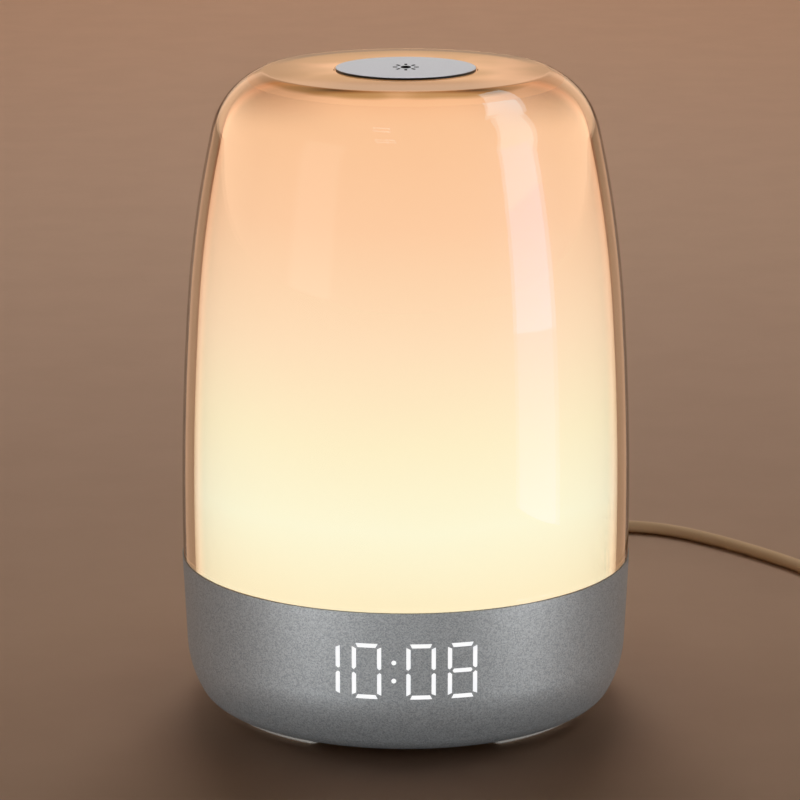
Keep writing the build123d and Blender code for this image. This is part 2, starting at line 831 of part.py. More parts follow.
def make_display_film():
    """Diffusing film between the light box and the wall."""
    layer = base_solid(display_wall, deck_underside)
    layer -= base_solid(display_wall + film_thickness, deck_underside)
    return layer & block(-box_half_width, box_half_width, -seam_radius, box_back_y - 2,
                         display_centre_z - box_height / 2, display_centre_z + box_height / 2)


def make_display_leds():
    """One small LED at the back of each well, turned along its segment."""
    length, depth, width = display_led
    y = box_back_y - depth / 2
    upright = Box(width, depth, length)
    lying = Box(length, depth, width)
    leds = []
    for i, x in enumerate(digit_centres):
        names = segments_on["1"] if i == 0 else segments_on["8"]
        for name in names:
            corners = segment_outlines()[name]
            cx = sum(c[0] for c in corners) / len(corners)
            cz = (min(c[1] for c in corners) + max(c[1] for c in corners)) / 2
            side = "left" in name or "right" in name
            sx = (digit_width - segment_width) / 2
            cx = (sx if cx > 0 else -sx) if side else cx
            leds.append(Pos(x + cx, y, display_centre_z + cz) * (upright if side else lying))
    dot = Box(width * 0.9, depth, width * 0.9)
    leds += [Pos(colon_x, y, display_centre_z + s * colon_spacing / 2) * dot for s in (-1, 1)]
    return joined(leds)


def lit_marks():
    """Lit segments and dots: a thin layer of the wall's outer face, cut to their outlines."""
    layer = base_solid(0, deck_underside) - base_solid(lit_depth, deck_underside)
    span = (-seam_radius - 1, box_back_y)
    return [layer & prism for prism in lit_segments(*span) + colon_dots(*span)]


def make_display_board():
    """Upright board behind the light box."""
    top = deck_underside - 0.2
    return block(-display_board_half_width, display_board_half_width, box_back_y,
                 box_back_y + board_thickness, top - display_board_height, top)


def make_display_header():
    """Right-angle pin header from the display board to the main board."""
    body = block(-header_half_width, header_half_width, main_board_front, main_board_front + header_height,
                 main_board_top, main_board_top + header_height)
    back = box_back_y + board_thickness
    pin = Box(pin_width, main_board_front - back, pin_width)
    y = (back + main_board_front) / 2
    z = main_board_top + header_height / 2
    places = [pin_pitch * (i - (header_pins - 1) / 2) for i in range(header_pins)]
    return joined([body] + [Pos(x, y, z) * pin for x in places])


# ---- speaker ----
def make_speaker():
    """Speaker that faces down: gasket, basket, magnet and cone, in that order."""
    seat = cover_top + speaker_gasket_height
    rim_top = seat + speaker_rim_thickness
    back = seat + speaker_depth
    inner = speaker_radius - speaker_rim
    gasket = tube(speaker_radius, inner, cover_top, seat)
    basket = turned([
        (inner, seat), (speaker_radius, seat), (speaker_radius, rim_top), (inner + 1.2, rim_top),
        (basket_radius, back - back_plate), (basket_radius, back), (coil_form_radius, back),
        (coil_form_radius, back - back_plate), (basket_radius - 1.2, back - back_plate),
        (inner, rim_top),
    ])
    magnet = disc(magnet_radius, back, back + magnet_height)
    t = cone_thickness
    cone = turned([
        (0, seat + cone_cap), (coil_form_radius, seat + cone_neck), (inner - 3, seat + cone_roll),
        (inner - 1.5, seat + cone_seat), (inner, seat + cone_seat), (inner, seat + cone_seat + t),
        (inner - 1.4, seat + cone_seat + t), (inner - 3, seat + cone_roll + 1.3 * t),
        (coil_form_radius - 0.1, seat + cone_neck + 1.3 * t), (coil_form_radius - 0.1, back),
        (coil_form_radius - 0.1 - t, back), (coil_form_radius - 0.1 - t, seat + cone_neck + t),
        (0, seat + cone_cap + t),
    ])
    return [Pos(0, speaker_y, 0) * piece for piece in (gasket, basket, magnet, cone)]


# ---- rear buttons ----
def make_button_board():
    """Upright board for the rear switches, standing on the main board."""
    half_width = rear_button_places[-1] + button_board_margin
    return block(-half_width, half_width, button_board_y, button_board_y + board_thickness,
                 main_board_top, main_board_top + button_board_height)


def make_rear_switches():
    """A switch behind each rear button."""
    y = button_board_y + board_thickness
    switch = Rot(-90, 0, 0) * switch_body(rear_travel)
    return joined(Pos(x, y, rear_button_z) * switch for x in rear_button_places)


def make_rear_button(x):
    """Cap trimmed to the wall's curve, with its stop flange and the stem that presses the switch."""
    cap = rod_y(rear_button_radius, flange_y, seam_radius + 2, x, rear_button_z)
    cap &= base_solid(-rear_button_proud, seam_height)
    cap += rod_y(rear_button_flange, flange_y, flange_y + rear_flange_thickness, x, rear_button_z)
    return cap + rod_y(stem_radius, switch_face_y - stem_engagement, flange_y, x, rear_button_z)


# ---- coin cell ----
def make_battery_cap():
    """Quarter-turn cap with a coin slot and two lugs."""
    top = foot_height + cap_thickness
    skirt_top = top + cap_skirt_height
    cap = disc(cap_radius, foot_height, top)
    cap += tube(cap_radius, cap_radius - cap_skirt_wall, top, skirt_top)
    for side in (0, 180):
        cap += sector(cap_radius - cap_skirt_wall, cap_radius + lug_reach, skirt_top - lug_height,
                      skirt_top, side - lug_span / 2, side + lug_span / 2)
    length, width, depth = coin_slot
    cap -= Pos(0, 0, foot_height) * Box(length, width, 2 * depth)
    return Pos(0, battery_y, 0) * cap


def make_coin_cell():
    """Backup coin cell."""
    low = foot_height + cap_thickness + cell_gap
    cell = disc(cell_radius, low, low + cell_thickness)
    return Pos(0, battery_y, 0) * fillet(cell.edges().filter_by(GeomType.CIRCLE), 0.4)


def make_battery_contacts():
    """Spring under the roof for one pole and a clip at the side for the other."""
    low = foot_height + cap_thickness + cell_gap
    roof = cover_top + cup_room
    leaf = disc(contact_leaf_radius, low + cell_thickness, low + cell_thickness + contact_thickness)
    leaf += disc(contact_post_radius, low + cell_thickness, roof)
    clip = sector(cell_radius, cell_radius + contact_thickness, low + 1.2, roof, 75, 105)
    return joined([Pos(0, battery_y, 0) * leaf, Pos(0, battery_y, 0) * clip])


# ---- power inlet and lead ----
def make_dc_jack():
    """Jack under the main board's rear edge."""
    body = block(-jack_half_width, jack_half_width, jack_face_y - jack_length, jack_face_y,
                 jack_bottom, main_board_underside)
    return body - rod_y(jack_bore, jack_face_y - jack_bore_depth, jack_face_y + 1, 0, jack_z)


def make_jack_pin():
    """Centre pin of the jack."""
    return rod_y(jack_pin_radius, jack_face_y - jack_bore_depth, jack_face_y - 1, 0, jack_z)


def along_lead(points):
    """Solid of revolution about the plug's axis, from (radius, distance outward) points."""
    return Pos(0, jack_face_y, jack_z) * Rot(-90, 0, 0) * turned(points)


def make_plug_barrel():
    """Metal sleeve that goes into the jack."""
    return along_lead([(barrel_bore, -barrel_length), (barrel_radius, -barrel_length),
                       (barrel_radius, 0), (barrel_bore, 0)])


def make_plug_body():
    """Moulded grip of the lead's plug."""
    end = plug_straight + plug_taper
    body = along_lead([(0, 0), (plug_radius, 0), (plug_radius, plug_straight),
                       (plug_tip_radius, end), (0, end)])
    return fillet(body.edges().filter_by(GeomType.CIRCLE).sort_by(Axis.Y)[-2:], 0.8)


def make_strain_relief():
    """Tapered sleeve with grooves, where the lead leaves the plug."""
    start = plug_straight + plug_taper
    end = start + relief_length
    relief = along_lead([(0, start), (relief_root_radius, start), (relief_tip_radius, end), (0, end)])
    step = relief_length / (relief_groove_count + 1)
    taper = (relief_tip_radius - relief_root_radius) / relief_length
    for i in range(relief_groove_count):
        at = start + step * (i + 0.8)
        radius = relief_root_radius + taper * (at - start)
        inner = radius - relief_groove_depth
        relief -= along_lead([(inner, at), (radius + 1, at), (radius + 1, at + relief_groove_width),
                              (inner, at + relief_groove_width)])
    return relief


# Places on the table: x, distance behind the end of the strain relief, and height.
lead_floor = lead_diameter / 2
lead_lay = [
    (0, 0, jack_z),
    (0, 8, jack_z),
    (0.8, 18.5, 10.0),
    (4, 28.5, 5.6),
    (11, 38.5, 2.5),
    (22, 47, lead_floor),
    (35, 50.8, lead_floor),
    (49, 53.2, lead_floor),
    (63, 52.5, lead_floor),
    (75, 48.6, lead_floor),
    (86, 39.5, lead_floor),
    (97, 27.4, lead_floor),
    (108, 13.2, lead_floor),
    (117.5, -1.9, lead_floor),
    (125.5, -16.9, lead_floor),
    (129.6, -28.4, lead_floor),
]
tail_lay = [
    (157.5, -58.4, lead_floor),
    (167.5, -55.4, lead_floor),
    (176.5, -49.4, 2.3),
    (182.5, -40.4, 3.2),
    (184.5, -29.9, usb_grip[2] / 2),
    (184.5, -21.4, usb_grip[2] / 2),
]
lead_route = [(x, lead_start_y + y, z) for x, y, z in lead_lay]
tail_route = [(x, lead_start_y + y, z) for x, y, z in tail_lay]


def route_radii(points):
    """Largest tangent arc that each corner's two runs allow."""
    radii = []
    for before, corner, after in zip(points, points[1:], points[2:]):
        run_in = Vector(*corner) - Vector(*before)
        run_out = Vector(*after) - Vector(*corner)
        turn = radians(run_in.get_angle(run_out))
        radii.append(0.45 * min(run_in.length, run_out.length) / tan(turn / 2))
    return radii


def lead_tube(points):
    """Round lead along straight runs joined by tangent arcs."""
    radii = route_radii(points)
    path = FilletPolyline(*points, radius=radii)
    start = Plane(origin=path @ 0, z_dir=path % 0)
    solid = sweep(start * Circle(lead_diameter / 2), path=path)
    section = pi * (lead_diameter / 2) ** 2
    print("lead radii", [round(r, 1) for r in radii], "length", round(path.length, 1),
          "volume ratio", round(solid.volume / (section * path.length), 5))
    return solid, path.length


def coil_section(grow, low, high, start, end):
    """Stretch of the coil's ring between two angles, grown by a thickness."""
    half = coil_width / 2 + grow
    return sector(coil_radius - half, coil_radius + half, low, high, start, end)


def make_coil_tie():
    """Flat tie round the coil's turns."""
    half_span = degrees(tie_width / 2 / coil_radius)
    outer = coil_section(tie_thickness, 0, coil_height + tie_thickness, -half_span, half_span)
    inner = coil_section(0, tie_thickness, coil_height, -half_span - 1, half_span + 1)
    return Pos(*coil_centre, 0) * Rot(0, 0, tie_angle) * (outer - inner)


def make_lead_coil():
    """Closed form of the wound length of lead, drawn in where the tie passes under it."""
    half = coil_width / 2
    ring = tube(coil_radius + half, coil_radius - half, 0, coil_height)
    ring = fillet(ring.edges().filter_by(GeomType.CIRCLE), coil_corner)
    return Pos(*coil_centre, 0) * ring - make_coil_tie()


def make_usb_plug():
    """Flat plug at the lead's far end: grip, metal shell and tongue."""
    x, y, z = tail_route[-1]
    width, length, height = usb_grip
    grip = Pos(x, y + length / 2, z) * Box(width, length, height)
    grip = fillet(grip.edges().filter_by(Axis.Y), 2.0)
    grip = fillet(grip.faces().sort_by(Axis.Y)[0].edges(), 1.2)
    face = y + length
    shell_width, shell_length, shell_height = usb_shell
    centre = Pos(x, face + shell_length / 2, z)
    outer = centre * Box(shell_width, shell_length, shell_height)
    room = centre * Box(shell_width - 2 * usb_sheet, shell_length + 2, shell_height - 2 * usb_sheet)
    shell = outer - room
    window = Box(usb_window, usb_window, shell_height + 2)
    for side in (-1, 1):
        shell -= Pos(x + side * usb_window_x, face + shell_length * 0.55, z) * window
    tongue = block(x - shell_width / 2 + usb_sheet, x + shell_width / 2 - usb_sheet, face,
                   face + shell_length - usb_tongue_inset, z - shell_height / 2 + usb_sheet, z)
    return [grip, shell, tongue]


# ---- build ----
def build_base():
    """Base housing, cover, feet and their screws."""
    save("base_housing", make_base_housing())
    save("bottom_cover", make_bottom_cover())
    save("cover_screws", make_cover_screws())
    for i, name in enumerate(foot_names):
        save(name, make_foot(90 + i * 360 / len(foot_names)))
    save("seam_gasket", make_seam_gasket())


def build_dome():
    """Shell, diffuser and the button on top."""
    save("outer_shell", make_outer_shell())
    save("inner_diffuser", make_inner_diffuser())
    save("touch_plate", make_touch_plate())
    save("sun_symbol", joined(sun_symbol()))
    save("button_carrier", make_button_carrier())
    save("button_cup", make_button_cup())
    save("top_switch_board", make_top_switch_board())
    save("top_switch", Pos(0, 0, top_switch_board_top()) * switch_body(top_travel))
    save("wire_tube", make_wire_tube())
    save("top_switch_lead", make_top_switch_lead())


def build_lamp():
    """Tray, LED board and LEDs."""
    save("light_tray", make_light_tray())
    grip = tray_top - deck_underside
    save("tray_screws", joined(screw(x, y, tray_top, False, grip) for x, y in tray_screws))
    save("led_board", make_led_board())
    save("warm_white_leds", make_leds(warm_led_count, led_board_radius - warm_led_inset, 0))
    half_step = 180 / amber_led_count
    save("amber_leds", make_leds(amber_led_count, led_board_radius - amber_led_inset, half_step))
    save("led_lead", make_led_lead())


def build_electronics():
    """Main board, display, rear switches and coin cell."""
    save("main_board", make_main_board())
    save("main_board_parts", make_main_board_parts())
    board_screws = (screw(x, y, main_board_underside, True, screw_grip) for x, y in board_posts)
    save("board_screws", joined(board_screws))
    save("display_board", make_display_board())
    save("display_header", make_display_header())
    save("display_leds", make_display_leds())
    save("display_light_box", make_display_light_box())
    save("display_film", make_display_film())
    marks = lit_marks()
    save("lit_segments", joined(marks[:-2]))
    save("lit_colon", joined(marks[-2:]))
    save("button_board", make_button_board())
    save("rear_switches", make_rear_switches())
    for name, x in zip(rear_button_names, rear_button_places):
        save(name, make_rear_button(x))
    save("battery_cap", make_battery_cap())
    save("coin_cell", make_coin_cell())
    save("battery_contacts", make_battery_contacts())


def build_speaker():
    """Speaker over the cover's grille."""
    names = ("speaker_gasket", "speaker_basket", "speaker_magnet", "speaker_cone")
    for name, piece in zip(names, make_speaker()):
        save(name, piece)


def build_lead():
    """Jack, plug and the power lead with its coil, tie and far plug."""
    save("dc_jack", make_dc_jack())
    save("dc_jack_pin", make_jack_pin())
    save("lead_plug_barrel", make_plug_barrel())
    save("lead_plug_body", make_plug_body())
    save("lead_strain_relief", make_strain_relief())
    near, near_length = lead_tube(lead_route)
    tail, tail_length = lead_tube(tail_route)
    coil = make_lead_coil()
    save("power_lead", near - coil)
    save("power_lead_tail", tail - coil)
    save("power_lead_coil", coil)
    save("coil_tie", make_coil_tie())
    wound = lead_length - near_length - tail_length
    print("wound length", round(wound, 1), "turns", round(wound / (2 * pi * coil_radius), 2))
    for name, piece in zip(("usb_plug_grip", "usb_plug_shell", "usb_plug_tongue"), make_usb_plug()):
        save(name, piece)


build_base()
build_dome()
build_lamp()
build_electronics()
build_speaker()
build_lead()
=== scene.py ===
"""Looks of the sunrise alarm clock: its finishes, the pieces that are seen, lamps, floor and camera."""

import json
import logging
from dataclasses import dataclass, field
from enum import Enum
from functools import cache
from math import asin, atan2, cos, hypot, pi, radians, sin

import bmesh
import bpy
from mathutils import Matrix, Quaternion, Vector

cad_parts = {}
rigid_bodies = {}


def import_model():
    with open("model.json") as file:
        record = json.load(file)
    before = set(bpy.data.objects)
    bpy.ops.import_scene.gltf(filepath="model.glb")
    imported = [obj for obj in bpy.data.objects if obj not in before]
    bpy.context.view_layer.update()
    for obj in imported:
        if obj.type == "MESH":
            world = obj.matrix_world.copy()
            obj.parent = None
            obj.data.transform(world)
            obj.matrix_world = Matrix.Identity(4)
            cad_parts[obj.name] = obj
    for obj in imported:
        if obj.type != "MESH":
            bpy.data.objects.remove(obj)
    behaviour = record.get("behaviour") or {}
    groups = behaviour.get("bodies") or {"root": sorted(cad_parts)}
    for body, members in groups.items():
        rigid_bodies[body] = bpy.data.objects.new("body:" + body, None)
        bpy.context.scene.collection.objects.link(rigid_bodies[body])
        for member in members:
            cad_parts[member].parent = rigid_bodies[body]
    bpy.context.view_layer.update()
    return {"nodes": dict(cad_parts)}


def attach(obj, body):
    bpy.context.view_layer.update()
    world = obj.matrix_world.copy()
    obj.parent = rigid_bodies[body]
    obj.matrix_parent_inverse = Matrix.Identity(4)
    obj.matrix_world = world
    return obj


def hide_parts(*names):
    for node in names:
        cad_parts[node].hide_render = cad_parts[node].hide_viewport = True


MM = 0.001
LOG = logging.getLogger("sunrise_clock")

Colour = tuple[float, float, float, float]
Place = tuple[float, float, float]


def linear(colour: str) -> Colour:
    """Turn an sRGB colour to linear light.

    Args:
        colour: six hex digits, red first.

    Returns:
        Red, green, blue and a full alpha.
    """
    channels = []
    for start in (0, 2, 4):
        value = int(colour[start:start + 2], 16) / 255
        channels.append(value / 12.92 if value <= 0.04045 else ((value + 0.055) / 1.055) ** 2.4)
    return channels[0], channels[1], channels[2], 1.0


def add_node(tree: bpy.types.NodeTree, kind: str, settings: dict | None = None,
             links: dict | None = None) -> bpy.types.Node:
    """Add a node with its settings and links.

    Args:
        tree: node tree that gets the node.
        kind: Blender's name of the node type.
        settings: values of its sockets (by name or number) and its own options.
        links: output sockets that feed its sockets, by name or number.

    Returns:
        The new node.
    """
    node = tree.nodes.new(kind)
    for key, value in (settings or {}).items():
        if isinstance(key, int) or key in node.inputs:
            node.inputs[key].default_value = value
        else:
            setattr(node, key, value)
    for key, source in (links or {}).items():
        tree.links.new(source, node.inputs[key])
    return node


def ramp(tree: bpy.types.NodeTree, factor: bpy.types.NodeSocket,
         stops: list[tuple[float, Colour]]) -> bpy.types.NodeSocket:
    """Colour ramp with the given stops.

    Args:
        tree: node tree.
        factor: socket that drives the ramp.
        stops: position and colour of each stop, lowest first.

    Returns:
        The ramp's colour socket.
    """
    node = add_node(tree, "ShaderNodeValToRGB", links={"Fac": factor})
    elements = node.color_ramp.elements
    elements.remove(elements[1])
    elements[0].position, elements[0].color = stops[0]
    for position, colour in stops[1:]:
        elements.new(position).color = colour
    return node.outputs["Color"]


# ---------------------------------------------------------------- finishes


class Finish:
    """A surface of one real material, built once and shared."""

    name: str

    @cache
    def material(self) -> bpy.types.Material:
        """The Blender material, made at its first use."""
        made = bpy.data.materials.new(self.name)
        made.use_nodes = True
        tree = made.node_tree
        tree.nodes.clear()
        shader = add_node(tree, "ShaderNodeBsdfPrincipled")
        add_node(tree, "ShaderNodeOutputMaterial", links={"Surface": shader.outputs["BSDF"]})
        self.surface(tree, shader)
        return made

    def surface(self, tree: bpy.types.NodeTree, shader: bpy.types.Node) -> None:
        """Set the shader's sockets and feed its patterns."""
        raise NotImplementedError

    @staticmethod
    def grain(tree: bpy.types.NodeTree, size_mm: float, detail: float = 2.0) -> bpy.types.NodeSocket:
        """Noise in the piece's own space whose lumps are about size_mm across."""
        place = add_node(tree, "ShaderNodeTexCoord").outputs["Object"]
        noise = add_node(tree, "ShaderNodeTexNoise",
                         {"Scale": 0.5 / (size_mm * MM), "Detail": detail, "Roughness": 0.55},
                         {"Vector": place})
        return noise.outputs["Fac"]

    @staticmethod
    def bump(tree: bpy.types.NodeTree, shader: bpy.types.Node, height: bpy.types.NodeSocket,
             depth_mm: float, strength: float = 1.0) -> None:
        """Feed a height pattern to the shader's normal."""
        node = add_node(tree, "ShaderNodeBump", {"Strength": strength, "Distance": depth_mm * MM},
                        {"Height": height})
        tree.links.new(node.outputs["Normal"], shader.inputs["Normal"])


@dataclass(frozen=True)
class Moulded(Finish):
    """Injection-moulded plastic: a fine even texture that breaks up the gloss, and slight tone drift."""

    name: str
    colour: str
    drift: str
    roughness: float = 0.45
    grain_mm: float = 0.4
    depth_mm: float = 0.01
    ior: float = 1.5
    gloss: float = 0.5        # nothing for an ink that swallows light

    def surface(self, tree: bpy.types.NodeTree, shader: bpy.types.Node) -> None:
        """Two near tones, a roughness that wanders a little and a fine bump."""
        fine = self.grain(tree, self.grain_mm)
        broad = self.grain(tree, 14.0)
        tone = ramp(tree, broad, [(0.35, linear(self.colour)), (0.65, linear(self.drift))])
        tree.links.new(tone, shader.inputs["Base Color"])
        wander = add_node(tree, "ShaderNodeMapRange", {"To Min": self.roughness - 0.05,
                                                       "To Max": self.roughness + 0.05}, {"Value": fine})
        tree.links.new(wander.outputs["Result"], shader.inputs["Roughness"])
        shader.inputs["IOR"].default_value = self.ior
        shader.inputs["Specular IOR Level"].default_value = self.gloss
        self.bump(tree, shader, fine, self.depth_mm)


@dataclass(frozen=True)
class FlakePaint(Finish):
    """Metallic silver paint on ABS: aluminium flakes glint as a fine speckle in a satin coat."""

    name: str
    colour: str
    dark_flake: str
    bright_flake: str
    metallic: float = 0.8
    roughness: float = 0.42
    flake_mm: float = 0.3     # real flakes are near 0.03 mm: drawn this coarse so that they show

    def surface(self, tree: bpy.types.NodeTree, shader: bpy.types.Node) -> None:
        """Random tone for each flake over a slow drift, and flakes that tilt slightly."""
        place = add_node(tree, "ShaderNodeTexCoord").outputs["Object"]
        cells = add_node(tree, "ShaderNodeTexVoronoi", {"Scale": 1.0 / (self.flake_mm * MM)},
                         {"Vector": place})
        flake = add_node(tree, "ShaderNodeSeparateColor", links={"Color": cells.outputs["Color"]})
        tone = ramp(tree, flake.outputs["Red"], [(0.0, linear(self.dark_flake)),
                                                 (0.45, linear(self.colour)),
                                                 (1.0, linear(self.bright_flake))])
        tree.links.new(tone, shader.inputs["Base Color"])
        shader.inputs["Metallic"].default_value = self.metallic
        spread = add_node(tree, "ShaderNodeMapRange", {"To Min": self.roughness - 0.06,
                                                       "To Max": self.roughness + 0.06},
                          {"Value": flake.outputs["Green"]})
        tree.links.new(spread.outputs["Result"], shader.inputs["Roughness"])
        self.bump(tree, shader, self.grain(tree, 0.35, 3.0), 0.012)


@dataclass(frozen=True)
class SatinMetal(Finish):
    """Metal sheet with a fine blasted or drawn surface: soft reflections, faint long streaks if drawn."""

    name: str
    colour: str
    shade: str
    roughness: float = 0.34
    grain_mm: float = 0.25
    metallic: float = 1.0     # less where blasting or a coat scatters the light like paper
    drawn: float = 1.0        # how much longer the grain is along X than across

    def surface(self, tree: bpy.types.NodeTree, shader: bpy.types.Node) -> None:
        """Stretched grain that moves tone, roughness and normal together."""
        place = add_node(tree, "ShaderNodeTexCoord").outputs["Object"]
        stretched = add_node(tree, "ShaderNodeMapping", {"Scale": (1.0 / self.drawn, 1.0, 1.0)},
                             {"Vector": place})
        noise = add_node(tree, "ShaderNodeTexNoise", {"Scale": 0.5 / (self.grain_mm * MM), "Detail": 3.0},
                         {"Vector": stretched.outputs["Vector"]})
        tone = ramp(tree, noise.outputs["Fac"], [(0.3, linear(self.shade)), (0.7, linear(self.colour))])
        tree.links.new(tone, shader.inputs["Base Color"])
        shader.inputs["Metallic"].default_value = self.metallic
        spread = add_node(tree, "ShaderNodeMapRange", {"To Min": self.roughness - 0.05,
                                                       "To Max": self.roughness + 0.05},
                          {"Value": noise.outputs["Fac"]})
        tree.links.new(spread.outputs["Result"], shader.inputs["Roughness"])
        self.bump(tree, shader, noise.outputs["Fac"], 0.006)


@dataclass(frozen=True)
class ClearAcrylic(Finish):
    """Polished clear acrylic: mirror-like at a glance, with the faintest handling haze."""

    name: str
    colour: str
    # painted shade: tint of the wall where it is seen near edge-on
    painted_wall_shade: str
    # painted shade: dark line along the rim where the wall is seen edge-on
    rim: str
    painted_glow: tuple[str, str, str] = ("000000", "000000", "000000")     # painted glow on the wall where it is seen near edge-on
    haze: float = 0.02

    def surface(self, tree: bpy.types.NodeTree, shader: bpy.types.Node) -> None:
        """Full transmission, a roughness near nothing, and painted shade by viewing angle: a darker tint where the wall
        is seen near edge-on and a dark line along the rim, with a faint painted glow on the wall.
        """
        # painted shade and painted glow, placed by how edge-on the wall is seen
        edge = add_node(tree, "ShaderNodeLayerWeight", {"Blend": 0.5})
        clear, wall, rim, dark = (linear(colour) for colour in (self.colour, self.painted_wall_shade, self.rim, "000000"))
        tint = ramp(tree, edge.outputs["Facing"], [(0.0, clear), (0.64, clear), (0.7, wall), (0.835, wall),
                                                   (0.842, clear), (0.858, clear), (0.872, rim)])
        tree.links.new(tint, shader.inputs["Base Color"])
        painted_rim_line = ramp(tree, edge.outputs["Facing"], [(0.0, clear), (0.858, clear), (0.872, rim)])
        tree.links.new(painted_rim_line, shader.inputs["Specular Tint"])
        near, inner, outer = (linear(colour) for colour in self.painted_glow)
        painted_glow = ramp(tree, edge.outputs["Facing"], [(0.0, dark), (0.58, dark), (0.66, near), (0.705, inner),
                                                    (0.77, inner), (0.8, outer), (0.835, outer), (0.842, dark)])
        tree.links.new(painted_glow, shader.inputs["Emission Color"])
        shader.inputs["Emission Strength"].default_value = 1.0
        shader.inputs["Transmission Weight"].default_value = 1.0
        shader.inputs["IOR"].default_value = 1.49
        spread = add_node(tree, "ShaderNodeMapRange", {"To Min": 0.0, "To Max": self.haze},
                          {"Value": self.grain(tree, 9.0)})
        tree.links.new(spread.outputs["Result"], shader.inputs["Roughness"])


